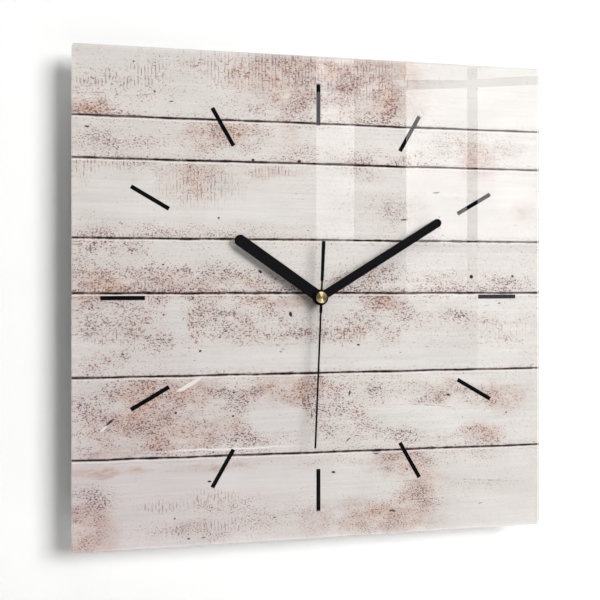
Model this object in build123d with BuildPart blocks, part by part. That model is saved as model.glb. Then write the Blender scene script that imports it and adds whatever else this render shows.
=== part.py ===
from build123d import *
import os
from math import atan, cos, degrees, pi, radians, sin

# Square glass wall clock with a quartz movement, built piece by piece, in millimetres.
# The origin is the axis of the hanger's eye on the wall. +Z is up, +X is to the right for
# someone who reads the dial, and the dial faces -Y. A depth is a distance in front of the
# wall, and a spot is (across, up) from the axis of the hands.

# ---- dial -------------------------------------------------------------------------------
GLASS_SIDE = 300.0          # square pane
GLASS_THICK = 4.0
GLASS_CORNER_R = 2.0
FRONT_ARRIS = 1.5           # polished bevel round the front edge
BACK_ARRIS = 0.6
PRIMER = 0.02               # clear primer between the glass and the ink
PRINT_THICK = 0.2           # printed planks
BACKING_THICK = 0.15        # white ink behind the print
MARKER_DEPTH = 0.1
MARKER_COUNT = 12
MARKER_LENGTH = 26.2
MARKER_WIDTH = 2.6
MARKER_RING_R = 120.3       # to the middle of each bar

# ---- hanging on the wall ----------------------------------------------------------------
EYE_HEIGHT = 38.0           # from the axis of the hands up to the eye
EYE_R = 3.25
HANGER_THICK = 2.0
HANGER_WIDTH = 20.0
HANGER_FOOT_GAP = 1.2       # between the setting knob and the lower edge of the hanger
SCREW_R = 1.0
SCREW_HEAD_R = 1.9
SCREW_SINK = 0.1            # head below the face of the hanger
SCREW_SPREAD = 6.5          # each side of the middle
SCREW_LENGTH = 7.0
SPACER_INSET = 30.0         # wall spacers, from the edges of the glass
SPACER_R = 6.0
SPACER_FLANGE_R = 7.5
SPACER_PAD_THICK = 1.0
FOOT_R = 5.0
FOOT_THICK = 1.5

# ---- movement case ----------------------------------------------------------------------
CASE_WALL = 1.2
CASE_CORNER_R = 3.0
PAD_THICK = 1.0             # adhesive foam between the case and the dial
PAD_MARGIN = 1.0
COLLAR_WALL = 1.44
COLLAR_STANDOUT = 0.4       # past the front of the glass
COLLAR_GAP = 0.3            # round the collar, in the hole of the glass
POST_R = 1.8
POST_TIP_R = 1.2
POST_INSET = 3.4            # post axis from the outside of the case
PLATE_THICK = 1.0
PLATE_GAP = 0.2
BOSS_R = 1.3
BOSS_HEIGHT = 0.8
PIVOT_R = 0.4
PIVOT_LENGTH = 0.9
RUN = 0.05                  # radial clearance of every running fit
END_PLAY = 0.2
CLIP_WIDTH = 6.0
CLIP_THICK = 1.0
CLIP_LENGTH = 5.5
CLIP_HOOK = 0.8
CLIP_SPREAD = 14.0
CLIP_GAP = 0.2

# ---- battery, AA size -------------------------------------------------------------------
CELL_LENGTH = 50.5
CELL_R = 7.1
CELL_GAP = 0.4
SLEEVE_WALL = 0.2
NUB_R = 2.6
NUB_LENGTH = 1.0
END_CAP_R = 5.2
END_CAP_THICK = 0.5
SEAL_WIDTH = 0.8
CONTACT_THICK = 0.4
CONTACT_ROOM = 1.55         # between the cell and each end of its bay
CONTACT_AIR = 0.15
CONTACT_WIDTH = 10.0
TRAIN_AIR = 0.5             # least room between the minute wheel and the battery bay's wall
STRIP_WIDTH = 3.0
CONTACT_TIP = 1.0           # width of the ridge that touches the cell
FINGER_NOTCH_R = 7.0

# ---- gear train -------------------------------------------------------------------------
ROTOR_TEETH = 8
STEP_WHEEL_TEETH = 48
STEP_PINION_TEETH = 8
SECONDS_WHEEL_TEETH = 40
SECONDS_PINION_TEETH = 8
THIRD_WHEEL_TEETH = 60
THIRD_PINION_TEETH = 8
MINUTE_WHEEL_TEETH = 64
CANNON_TEETH = 10
MOTION_WHEEL_TEETH = 30
MOTION_PINION_TEETH = 8
HOUR_WHEEL_TEETH = 32
SETTING_TEETH = 10

BACKLASH = 0.10             # off each tooth, at the pitch circle
DEDENDUM = 1.35             # in modules
WHEEL_ADDENDUM = 0.9
PINION_ADDENDUM = 0.6
TIP_SHARE = 0.34            # tooth tip, as a share of its width at the pitch circle

ARBOR_R = 0.5               # steel arbor of the second hand
MINUTE_PIPE_R = 1.4
PINION_RIM = 0.06           # left between the minute pipe and the roots of its pinion
HOUR_PIPE_WALL = 1.05
HUB_R = 1.0
WHEEL_THICK = 0.6
PINION_FACE = 1.0
LEVEL_GAP = 0.5             # between wheels that pass each other
BEARING_POST_R = 0.6
STEM_R = 1.5

STEP_DISTANCE = 7.6         # step wheel to the hands' axis
STEP_ANGLE = 30
ROTOR_DISTANCE = 7.0        # rotor to step wheel
ROTOR_ANGLE = 10
THIRD_DISTANCE = 9.0        # third wheel to the hands' axis
THIRD_ANGLE = 170
MOTION_ANGLE = 100
SETTING_ANGLE = 150

# ---- motor and electronics --------------------------------------------------------------
MAGNET_R = 2.8
MAGNET_THICK = 1.8
ROTOR_AIR = 0.6             # between the magnet and the stator
STATOR_THICK = 1.0
STATOR_RING = 1.8
STATOR_ARM = 3.0
COIL_HEIGHT = 19.5          # of the coil's axis above the hands' axis
COIL_REACH = 14.8           # length of the core
COIL_DEPTH = 5.0
COIL_WIDTH = 7.0
BOBBIN_WALL = 0.6
BOARD_WIDTH = 8.9
BOARD_THICK = 1.0
BOARD_RISE = 5.1            # lower edge of the board, above the floor of the train chamber
BOARD_TOP = 21.5
BOARD_STAND = 1.2
PEG_R = 0.7
PEG_INSET = 4.0
CRYSTAL_R = 1.0
CRYSTAL_LENGTH = 6.0
CHIP_R = 2.4
CHIP_HEIGHT = 0.9

KNOB_R = 5.5
KNOB_TOP_DEPTH = 0.6        # outer face of the knob, from the wall
KNOB_GROOVES = 24
KNOB_GROOVE_R = 0.35
KNOB_WELL_GAP = 0.6
KNOB_WELL_DEPTH = 1.5
KNOB_WELL_WALL = 0.8

# ---- hands ------------------------------------------------------------------------------
HOUR_LENGTH = 64.5
HOUR_WIDTH = 7.1
HOUR_ANGLE = 304.9          # clockwise from twelve
MINUTE_LENGTH = 92.8
MINUTE_WIDTH = 5.5
MINUTE_ANGLE = 58.5
HAND_THICK = 0.8
HAND_BEVEL = 0.45
HAND_HUB_R = 4.9
BUSH_WALL = 0.9
BUSH_STANDOUT = 0.25
HAND_GAP = 0.7              # between one hand and what lies behind it
SECOND_LENGTH = 93.0
SECOND_WIDTH = 1.05
SECOND_ROOT_LENGTH = 9.5
SECOND_ROOT_WIDTH = 1.75
TAIL_NECK_LENGTH = 10.3
TAIL_LENGTH = 34.8
TAIL_WIDTHS = (1.85, 2.3)
SECOND_ANGLE = 182.4
SECOND_THICK = 0.5
SECOND_HUB_R = 2.8
SECOND_PIPE_WALL = 0.5
CAP_R = 3.5
CAP_THICK = 1.0
CAP_EDGE = 0.25

# ---- worked out from the sizes above: across and up -------------------------------------
CELL_BAY = 2 * CELL_R + 2 * CELL_GAP
MINUTE_MODULE = 2 * THIRD_DISTANCE / (THIRD_PINION_TEETH + MINUTE_WHEEL_TEETH)
MINUTE_TIP_R = MINUTE_MODULE * (MINUTE_WHEEL_TEETH / 2 + WHEEL_ADDENDUM)
LENGTH_NEED = CELL_LENGTH / 2 + CONTACT_ROOM
HEIGHT_NEED = MINUTE_TIP_R + TRAIN_AIR + CASE_WALL + CELL_BAY
INNER = max(LENGTH_NEED, HEIGHT_NEED)
CASE_SIDE = 2 * INNER + 2 * CASE_WALL
CELL_UP = -INNER + CELL_GAP + CELL_R
BAY_TOP = CELL_UP + CELL_R + CELL_GAP
TRAIN_BOTTOM = BAY_TOP + CASE_WALL
BOARD_BOTTOM = TRAIN_BOTTOM + BOARD_RISE
POST_X = CASE_SIDE / 2 - POST_INSET
POST_SPOTS = [
    (-POST_X, POST_X),
    (POST_X, POST_X),
    (-POST_X, TRAIN_BOTTOM + POST_INSET - CASE_WALL),
    (POST_X, TRAIN_BOTTOM + POST_INSET - CASE_WALL),
]


def beside(spot, distance, angle):
    """The spot that lies a distance from another, at an angle from +X towards +Z."""
    return (spot[0] + distance * cos(radians(angle)), spot[1] + distance * sin(radians(angle)))


MOTION_MODULE = (MINUTE_PIPE_R + PINION_RIM) / (CANNON_TEETH / 2 - DEDENDUM)
MOTION_DISTANCE = MOTION_MODULE * (CANNON_TEETH + MOTION_WHEEL_TEETH) / 2
SETTING_DISTANCE = MOTION_MODULE * (SETTING_TEETH + MOTION_WHEEL_TEETH) / 2
CENTRE = (0.0, 0.0)
STEP = beside(CENTRE, STEP_DISTANCE, STEP_ANGLE)
ROTOR = beside(STEP, ROTOR_DISTANCE, ROTOR_ANGLE)
THIRD = beside(CENTRE, THIRD_DISTANCE, THIRD_ANGLE)
MOTION = beside(CENTRE, MOTION_DISTANCE, MOTION_ANGLE)
SETTING = beside(MOTION, SETTING_DISTANCE, SETTING_ANGLE)
MINUTE_BORE_R = ARBOR_R + RUN
HOUR_BORE_R = MINUTE_PIPE_R + RUN
HOUR_PIPE_R = HOUR_BORE_R + HOUR_PIPE_WALL
COLLAR_BORE_R = HOUR_PIPE_R + RUN
COLLAR_R = COLLAR_BORE_R + COLLAR_WALL
GLASS_HOLE_R = COLLAR_R + COLLAR_GAP
MOTION_HUB_BORE_R = BEARING_POST_R + RUN
SCREW_UP = CASE_SIDE / 2 - CASE_WALL - SCREW_HEAD_R

# ---- worked out from the sizes above: depths from the wall ------------------------------
CASE_BACK = HANGER_THICK
INSIDE_BACK = CASE_BACK + CASE_WALL
BOSS_TOP = INSIDE_BACK + BOSS_HEIGHT
REAR_STACK = BOSS_TOP + END_PLAY
MAGNET_BACK = REAR_STACK
STATOR_BACK = MAGNET_BACK + (MAGNET_THICK - STATOR_THICK) / 2
SECONDS_LEVEL = MAGNET_BACK + MAGNET_THICK + LEVEL_GAP
STEP_LEVEL = SECONDS_LEVEL + WHEEL_THICK + LEVEL_GAP
THIRD_LEVEL = STEP_LEVEL + WHEEL_THICK + LEVEL_GAP
PLATE_BACK = THIRD_LEVEL + WHEEL_THICK + LEVEL_GAP
PLATE_FRONT = PLATE_BACK + PLATE_THICK
MINUTE_LEVEL = PLATE_FRONT + LEVEL_GAP + END_PLAY
MOTION_LEVEL = MINUTE_LEVEL + WHEEL_THICK + LEVEL_GAP
HOUR_LEVEL = MOTION_LEVEL + PINION_FACE + LEVEL_GAP
TRAIN_ROOM = HOUR_LEVEL + WHEEL_THICK + 3 * LEVEL_GAP - INSIDE_BACK
CELL_ROOM = CELL_BAY - CASE_WALL
INSIDE_FRONT = INSIDE_BACK + max(TRAIN_ROOM, CELL_ROOM)
CASE_FRONT = INSIDE_FRONT + CASE_WALL
CELL_DEPTH = (CASE_BACK + INSIDE_FRONT) / 2
BACKING_BACK = CASE_FRONT + PAD_THICK
PRINT_BACK = BACKING_BACK + BACKING_THICK
PRINT_FRONT = PRINT_BACK + PRINT_THICK
GLASS_BACK = PRINT_FRONT + PRIMER
GLASS_FRONT = GLASS_BACK + GLASS_THICK
COLLAR_END = GLASS_FRONT + COLLAR_STANDOUT
HOUR_HAND_BACK = COLLAR_END + HAND_GAP
HOUR_PIPE_END = HOUR_HAND_BACK + HAND_THICK + BUSH_STANDOUT
MINUTE_HAND_BACK = HOUR_PIPE_END + HAND_GAP
MINUTE_PIPE_END = MINUTE_HAND_BACK + HAND_THICK + BUSH_STANDOUT
SECOND_HAND_BACK = MINUTE_PIPE_END + HAND_GAP
CAP_BACK = SECOND_HAND_BACK + SECOND_THICK
ARBOR_END = CAP_BACK + CAP_THICK / 2
PIVOT_END = BOSS_TOP - PIVOT_LENGTH
KNOB_INNER_DEPTH = CASE_BACK + KNOB_WELL_DEPTH - END_PLAY
BOARD_BACK = INSIDE_BACK + BOARD_STAND


# ---- helpers ----------------------------------------------------------------------------
def plane_at(depth, spot=CENTRE, turn=0.0):
    """A plane that faces the reader, at a depth, centred on a spot, turned clockwise."""
    origin = (spot[0], -depth, spot[1] - EYE_HEIGHT)
    across = (cos(radians(turn)), 0, -sin(radians(turn)))
    return Plane(origin=origin, x_dir=across, z_dir=(0, -1, 0))


def cell_plane(across):
    """A plane square to the cell's length, on the axis of the cell."""
    origin = (across, -CELL_DEPTH, CELL_UP - EYE_HEIGHT)
    return Plane(origin=origin, x_dir=(0, 1, 0), z_dir=(1, 0, 0))


def round_step(start, end, radius, spot=CENTRE, bore=0.0, mode=Mode.ADD):
    """A round length of the current part, from one depth to another."""
    with BuildSketch(plane_at(start, spot)) as section:
        Circle(radius)
        if bore:
            Circle(bore, mode=Mode.SUBTRACT)
    extrude(section.sketch, amount=end - start, mode=mode)


def block(x_span, z_span, depth_span, mode=Mode.ADD):
    """A square block of the current part, from its three spans."""
    middle = (sum(x_span) / 2, sum(z_span) / 2)
    with BuildSketch(plane_at(depth_span[0], middle)) as section:
        Rectangle(x_span[1] - x_span[0], z_span[1] - z_span[0])
    extrude(section.sketch, amount=depth_span[1] - depth_span[0], mode=mode)


def tooth_outline(teeth, module, addendum, phase):
    """Corners of a toothed outline: straight roots, radial flanks and narrowed tips."""
    pitch_r = teeth * module / 2
    half = pi / (2 * teeth) - BACKLASH / (2 * pitch_r)
    corners = (
        (pitch_r - DEDENDUM * module, -1.0),
        (pitch_r, -1.0),
        (pitch_r + addendum * module, -TIP_SHARE),
        (pitch_r + addendum * module, TIP_SHARE),
        (pitch_r, 1.0),
        (pitch_r - DEDENDUM * module, 1.0),
    )
    outline = []
    for tooth in range(teeth):
        middle = radians(phase) + 2 * pi * tooth / teeth
        for radius, side in corners:
            angle = middle + side * half
            outline.append((radius * cos(angle), radius * sin(angle)))
    return outline


def gear(start, end, spot, teeth, module, addendum, phase, bore=0.0):
    """A toothed length of the current part, from one depth to another."""
    with BuildSketch(plane_at(start, spot)) as section:
        with BuildLine():
            Polyline(*tooth_outline(teeth, module, addendum, phase), close=True)
        make_face()
        if bore:
            Circle(bore, mode=Mode.SUBTRACT)
    extrude(section.sketch, amount=end - start)


def in_mesh(teeth, next_teeth, direction, phase=0.0):
    """Phase of the next gear, whose gap takes the tooth that this one points at it."""
    return direction + 180 + 180 / next_teeth + (direction - phase) * teeth / next_teeth


def module_for(distance, teeth, next_teeth):
    """Module of two gears that mesh at a distance."""
    return 2 * distance / (teeth + next_teeth)


def pivots(spot, rear_start, front_end, radius=PIVOT_R):
    """The two bearing ends of an arbor, from a case boss to the bearing in front."""
    round_step(PIVOT_END, rear_start, radius, spot)
    round_step(rear_start, front_end, radius, spot)


def save(builder, label):
    """Name a finished piece and write it."""
    builder.part.label = label
    export_step(builder.part, f"parts/{label}.step")


os.makedirs("parts", exist_ok=True)

# ---- glass pane: toughened, edges ground and polished -----------------------------------
with BuildPart() as glass_panel:
    with BuildSketch(plane_at(GLASS_BACK)):
        RectangleRounded(GLASS_SIDE, GLASS_SIDE, GLASS_CORNER_R)
    extrude(amount=GLASS_THICK)
    chamfer(glass_panel.faces().sort_by(Axis.Y)[0].edges(), FRONT_ARRIS)
    chamfer(glass_panel.faces().sort_by(Axis.Y)[-1].edges(), BACK_ARRIS)
    round_step(GLASS_BACK, GLASS_FRONT, GLASS_HOLE_R, mode=Mode.SUBTRACT)
save(glass_panel, "glass_panel")

# ---- print on the back of the glass: planks, twelve hour bars, white backing ------------
INK_SIDE = GLASS_SIDE - 2 * BACK_ARRIS

with BuildSketch(plane_at(PRINT_FRONT)) as marker_bars:
    with PolarLocations(MARKER_RING_R, MARKER_COUNT):
        Rectangle(MARKER_LENGTH, MARKER_WIDTH)

with BuildPart() as dial_print:
    with BuildSketch(plane_at(PRINT_BACK)):
        RectangleRounded(INK_SIDE, INK_SIDE, GLASS_CORNER_R)
        Circle(GLASS_HOLE_R, mode=Mode.SUBTRACT)
    extrude(amount=PRINT_THICK)
    extrude(marker_bars.sketch, amount=-MARKER_DEPTH, mode=Mode.SUBTRACT)
save(dial_print, "dial_print")

with BuildPart() as hour_markers:
    extrude(marker_bars.sketch, amount=-MARKER_DEPTH)
save(hour_markers, "hour_markers")

with BuildPart() as white_backing:
    with BuildSketch(plane_at(BACKING_BACK)):
        RectangleRounded(INK_SIDE, INK_SIDE, GLASS_CORNER_R)
        Circle(GLASS_HOLE_R, mode=Mode.SUBTRACT)
    extrude(amount=BACKING_THICK)
save(white_backing, "white_backing")

# ---- two wall spacers, low on the back --------------------------------------------------
SPACER_OUT = GLASS_SIDE / 2 - SPACER_INSET
SPACER_SPOTS = [(-SPACER_OUT, -SPACER_OUT), (SPACER_OUT, -SPACER_OUT)]
SPACER_FRONT = BACKING_BACK - SPACER_PAD_THICK

with BuildPart() as spacer_pads:
    for spot in SPACER_SPOTS:
        round_step(SPACER_FRONT, BACKING_BACK, SPACER_FLANGE_R, spot)
save(spacer_pads, "spacer_pads")

with BuildPart() as spacer_pillars:
    for spot in SPACER_SPOTS:
        round_step(FOOT_THICK, SPACER_FRONT, SPACER_R, spot)
        round_step(SPACER_FRONT - CASE_WALL, SPACER_FRONT, SPACER_FLANGE_R, spot)
    rims = spacer_pillars.edges().filter_by(GeomType.CIRCLE).group_by(Axis.Y)[-1]
    chamfer(rims, (SPACER_R - FOOT_R) / 2)
save(spacer_pillars, "spacer_pillars")

with BuildPart() as spacer_feet:
    for spot in SPACER_SPOTS:
        round_step(0, FOOT_THICK, FOOT_R, spot)
save(spacer_feet, "spacer_feet")

# ---- foam pad that bonds the movement to the glass --------------------------------------
with BuildPart() as movement_pad:
    with BuildSketch(plane_at(CASE_FRONT)):
        pad_side = CASE_SIDE - 2 * PAD_MARGIN
        RectangleRounded(pad_side, pad_side, CASE_CORNER_R)
        Circle(GLASS_HOLE_R + PAD_MARGIN, mode=Mode.SUBTRACT)
    extrude(amount=PAD_THICK)
save(movement_pad, "movement_pad")

# ---- case front: tub with battery bay, posts, bearings and collar -----------------------
THIRD_BOSS_BACK = HOUR_LEVEL - LEVEL_GAP
SETTING_BOSS_BACK = HOUR_LEVEL

with BuildPart() as case_front:
    with BuildSketch(plane_at(CASE_BACK)):
        RectangleRounded(CASE_SIDE, CASE_SIDE, CASE_CORNER_R)
    extrude(amount=CASE_FRONT - CASE_BACK)
    fillet(case_front.faces().sort_by(Axis.Y)[0].edges(), CASE_WALL / 2)
    block((-INNER, INNER), (TRAIN_BOTTOM, INNER), (CASE_BACK, INSIDE_FRONT), Mode.SUBTRACT)
    block((-INNER, INNER), (-INNER, BAY_TOP), (CASE_BACK, INSIDE_FRONT), Mode.SUBTRACT)
    block((-INNER, INNER), (BAY_TOP, TRAIN_BOTTOM), (CASE_BACK, INSIDE_BACK), Mode.SUBTRACT)
    for spot in POST_SPOTS:
        round_step(PLATE_FRONT, INSIDE_FRONT, POST_R, spot)
        round_step(INSIDE_BACK, PLATE_FRONT, POST_TIP_R, spot)
    round_step(MOTION_LEVEL, INSIDE_FRONT, BEARING_POST_R, MOTION)
    round_step(THIRD_BOSS_BACK, INSIDE_FRONT, BOSS_R, THIRD)
    round_step(SETTING_BOSS_BACK, INSIDE_FRONT, STEM_R, SETTING)
    round_step(THIRD_BOSS_BACK, INSIDE_FRONT, PIVOT_R + RUN, THIRD, mode=Mode.SUBTRACT)
    round_step(SETTING_BOSS_BACK, INSIDE_FRONT, PIVOT_R + RUN, SETTING, mode=Mode.SUBTRACT)
    round_step(CASE_FRONT, COLLAR_END, COLLAR_R)
    round_step(INSIDE_FRONT, COLLAR_END, COLLAR_BORE_R, mode=Mode.SUBTRACT)
    # slots for the contact strips where they pass the wall above the cell
    slot_depths = (INSIDE_BACK, INSIDE_BACK + STRIP_WIDTH + 2 * CLIP_GAP)
    for side in (-1, 1):
        slot_x = sorted((side * INNER, side * (INNER - CONTACT_THICK - CLIP_GAP)))
        block(slot_x, (BAY_TOP, TRAIN_BOTTOM), slot_depths, Mode.SUBTRACT)
    # windows for the clips of the back cover
    hook_back = INSIDE_BACK + CLIP_LENGTH - 2 * CLIP_HOOK
    for side in (-1, 1):
        middle = side * CLIP_SPREAD
        window_x = (middle - CLIP_WIDTH / 2 - CLIP_GAP, middle + CLIP_WIDTH / 2 + CLIP_GAP)
        window_depths = (hook_back - CLIP_GAP, INSIDE_BACK + CLIP_LENGTH + CLIP_GAP)
        block(window_x, (INNER, CASE_SIDE / 2), window_depths, Mode.SUBTRACT)
    # thumb notch below the cell
    with BuildSketch(Plane.XY.offset(-CASE_SIDE / 2 - EYE_HEIGHT)):
        with Locations((0, -CASE_BACK)):
            Circle(FINGER_NOTCH_R)
    extrude(amount=CASE_WALL, mode=Mode.SUBTRACT)
save(case_front, "case_front")

# ---- case back: cover over the train, with bearings, pegs and the knob's well -----------
REAR_BEARINGS = [
    (CENTRE, ARBOR_R),
    (STEP, PIVOT_R),
    (ROTOR, PIVOT_R),
    (THIRD, PIVOT_R),
]
BOARD_LEFT = -INNER + CONTACT_THICK
PEG_X = BOARD_LEFT + BOARD_WIDTH / 2
PEG_SPOTS = [(PEG_X, BOARD_BOTTOM + PEG_INSET), (PEG_X, BOARD_TOP - PEG_INSET)]
SCREW_SPOTS = [(-SCREW_SPREAD, SCREW_UP), (SCREW_SPREAD, SCREW_UP)]
WELL_R = KNOB_R + KNOB_WELL_GAP
WELL_FLOOR = CASE_BACK + KNOB_WELL_DEPTH

with BuildPart() as case_back:
    block((-INNER, INNER), (BAY_TOP, INNER), (CASE_BACK, INSIDE_BACK))
    round_step(CASE_BACK, WELL_FLOOR + KNOB_WELL_WALL, WELL_R + KNOB_WELL_WALL, SETTING)
    round_step(CASE_BACK, WELL_FLOOR, WELL_R, SETTING, mode=Mode.SUBTRACT)
    round_step(CASE_BACK, WELL_FLOOR + KNOB_WELL_WALL, STEM_R + RUN, SETTING, mode=Mode.SUBTRACT)
    for spot, radius in REAR_BEARINGS:
        round_step(INSIDE_BACK, BOSS_TOP, BOSS_R, spot)
        round_step(PIVOT_END - RUN, BOSS_TOP, radius + RUN, spot, mode=Mode.SUBTRACT)
    for spot in PEG_SPOTS:
        round_step(INSIDE_BACK, BOARD_BACK, 2 * PEG_R, spot)
        round_step(BOARD_BACK, BOARD_BACK + BOARD_THICK + PEG_R, PEG_R, spot)
    for spot in SCREW_SPOTS:
        round_step(INSIDE_BACK, SCREW_SINK + SCREW_LENGTH + RUN, SCREW_HEAD_R, spot)
        round_step(CASE_BACK, SCREW_SINK + SCREW_LENGTH, SCREW_R, spot, mode=Mode.SUBTRACT)
    for side in (-1, 1):
        middle = side * CLIP_SPREAD
        clip_x = (middle - CLIP_WIDTH / 2, middle + CLIP_WIDTH / 2)
        clip_end = INSIDE_BACK + CLIP_LENGTH
        block(clip_x, (INNER - CLIP_THICK, INNER), (INSIDE_BACK, clip_end))
        block(clip_x, (INNER, INNER + CLIP_HOOK), (clip_end - 2 * CLIP_HOOK, clip_end))
save(case_back, "case_back")

# ---- hanger: plate with a round eye, held by two countersunk screws ---------------------
HANGER_FOOT = max(SETTING[1] + KNOB_R + HANGER_FOOT_GAP, SCREW_UP - 2 * SCREW_HEAD_R)

with BuildPart() as hanger:
    with BuildSketch(plane_at(0)):
        with Locations((0, (HANGER_FOOT + EYE_HEIGHT) / 2)):
            Rectangle(HANGER_WIDTH, EYE_HEIGHT - HANGER_FOOT)
        with Locations((0, EYE_HEIGHT)):
            Circle(HANGER_WIDTH / 2)
            Circle(EYE_R, mode=Mode.SUBTRACT)
    extrude(amount=HANGER_THICK)
    with Locations(*[plane_at(0, spot).location for spot in SCREW_SPOTS]):
        with Locations(Rotation(180, 0, 0)):
            CounterSinkHole(SCREW_R, SCREW_HEAD_R + SCREW_SINK, depth=2 * HANGER_THICK)
save(hanger, "hanger")

with BuildPart() as hanger_screws:
    for spot in SCREW_SPOTS:
        round_step(SCREW_SINK, SCREW_SINK + SCREW_LENGTH, SCREW_R, spot)
        with BuildSketch(plane_at(SCREW_SINK, spot)):
            Circle(SCREW_HEAD_R)
        extrude(amount=SCREW_HEAD_R - SCREW_R, taper=45)
save(hanger_screws, "hanger_screws")

# ---- middle plate: front bearings of the rotor and the step wheel -----------------------
with BuildPart() as middle_plate:
    block(
        (-INNER + PLATE_GAP, INNER - PLATE_GAP),
        (TRAIN_BOTTOM + PLATE_GAP, INNER - PLATE_GAP),
        (PLATE_BACK, PLATE_FRONT),
    )
    for spot in POST_SPOTS:
        round_step(PLATE_BACK, PLATE_FRONT, POST_TIP_R, spot, mode=Mode.SUBTRACT)
    for spot in (STEP, ROTOR):
        round_step(PLATE_BACK, PLATE_FRONT, PIVOT_R + RUN, spot, mode=Mode.SUBTRACT)
    round_step(PLATE_BACK, PLATE_FRONT, HUB_R + RUN, mode=Mode.SUBTRACT)
    round_step(PLATE_BACK, PLATE_FRONT, HUB_R + END_PLAY, THIRD, mode=Mode.SUBTRACT)
    round_step(PLATE_BACK, PLATE_FRONT, STEM_R + 2 * END_PLAY, SETTING, mode=Mode.SUBTRACT)
save(middle_plate, "middle_plate")

# ---- circuit board with its chip and quartz crystal -------------------------------------
with BuildPart() as circuit_board:
    block(
        (BOARD_LEFT, BOARD_LEFT + BOARD_WIDTH),
        (BOARD_BOTTOM, BOARD_TOP),
        (BOARD_BACK, BOARD_BACK + BOARD_THICK),
    )
    for spot in PEG_SPOTS:
        round_step(BOARD_BACK, BOARD_BACK + BOARD_THICK, PEG_R, spot, mode=Mode.SUBTRACT)
save(circuit_board, "circuit_board")

CHIP_SPOT = (PEG_X, BOARD_BOTTOM + BOARD_WIDTH)
BOARD_FRONT = BOARD_BACK + BOARD_THICK

with BuildPart() as driver_chip:
    round_step(BOARD_FRONT, BOARD_FRONT + CHIP_HEIGHT, CHIP_R, CHIP_SPOT)
    fillet(driver_chip.faces().sort_by(Axis.Y)[0].edges(), CHIP_HEIGHT / 2)
save(driver_chip, "driver_chip")

with BuildPart() as quartz_crystal:
    crystal_middle = (BOARD_BOTTOM + BOARD_TOP) / 2 - EYE_HEIGHT
    with BuildSketch(Plane.XY.offset(crystal_middle)):
        with Locations((PEG_X, -BOARD_FRONT - CRYSTAL_R)):
            Circle(CRYSTAL_R)
    extrude(amount=CRYSTAL_LENGTH)
    fillet(quartz_crystal.edges().group_by(Axis.Z)[-1], CRYSTAL_R / 3)
save(quartz_crystal, "quartz_crystal")

# ---- stepping motor: stator, core, bobbin and winding -----------------------------------
STATOR_FRONT = STATOR_BACK + STATOR_THICK
STATOR_HOLE_R = MAGNET_R + ROTOR_AIR
RING_R = STATOR_HOLE_R + STATOR_RING
CORE_LEFT = ROTOR[0] - RING_R
CORE_RIGHT = CORE_LEFT + COIL_REACH
CORE_DEPTHS = (STATOR_FRONT, STATOR_FRONT + STATOR_THICK)
CORE_SPAN = (COIL_HEIGHT - STATOR_ARM / 2, COIL_HEIGHT + STATOR_ARM / 2)
COIL_LEFT = CORE_LEFT + STATOR_ARM + BOBBIN_WALL
COIL_RIGHT = CORE_RIGHT - STATOR_ARM - BOBBIN_WALL
COIL_MIDDLE_DEPTH = sum(CORE_DEPTHS) / 2

with BuildPart() as stator:
    stator_depths = (STATOR_BACK, STATOR_FRONT)
    arm_span = (ROTOR[1], CORE_SPAN[1])
    round_step(STATOR_BACK, STATOR_FRONT, RING_R, ROTOR)
    block((CORE_LEFT, CORE_LEFT + STATOR_ARM), arm_span, stator_depths)
    block((CORE_RIGHT - STATOR_ARM, CORE_RIGHT), arm_span, stator_depths)
    foot_span = (ROTOR[1] - STATOR_RING, ROTOR[1] + STATOR_RING)
    block((ROTOR[0], CORE_RIGHT), foot_span, stator_depths)
    round_step(STATOR_BACK, STATOR_FRONT, STATOR_HOLE_R, ROTOR, mode=Mode.SUBTRACT)
save(stator, "stator")

with BuildPart() as coil_core:
    block((CORE_LEFT, CORE_RIGHT), CORE_SPAN, CORE_DEPTHS)
save(coil_core, "coil_core")


def coil_plane(across):
    """A plane square to the coil's length, on its axis."""
    origin = (across, -COIL_MIDDLE_DEPTH, COIL_HEIGHT - EYE_HEIGHT)
    return Plane(origin=origin, x_dir=(0, 1, 0), z_dir=(1, 0, 0))


TUBE_DEPTH = STATOR_THICK + 2 * BOBBIN_WALL
TUBE_WIDTH = STATOR_ARM + 2 * BOBBIN_WALL

with BuildPart() as coil_bobbin:
    with BuildSketch(coil_plane(COIL_LEFT)):
        Rectangle(TUBE_DEPTH, TUBE_WIDTH)
    extrude(amount=COIL_RIGHT - COIL_LEFT)
    for flange_left in (COIL_LEFT, COIL_RIGHT - BOBBIN_WALL):
        with BuildSketch(coil_plane(flange_left)):
            RectangleRounded(COIL_DEPTH, COIL_WIDTH, STATOR_THICK)
        extrude(amount=BOBBIN_WALL)
    with BuildSketch(coil_plane(COIL_LEFT)):
        Rectangle(STATOR_THICK, STATOR_ARM)
    extrude(amount=COIL_RIGHT - COIL_LEFT, mode=Mode.SUBTRACT)
save(coil_bobbin, "coil_bobbin")

with BuildPart() as coil_winding:
    with BuildSketch(coil_plane(COIL_LEFT + BOBBIN_WALL)):
        RectangleRounded(COIL_DEPTH - CLIP_GAP, COIL_WIDTH - CLIP_GAP, STATOR_THICK)
        Rectangle(TUBE_DEPTH, TUBE_WIDTH, mode=Mode.SUBTRACT)
    extrude(amount=COIL_RIGHT - COIL_LEFT - 2 * BOBBIN_WALL)
save(coil_winding, "coil_winding")

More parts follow.
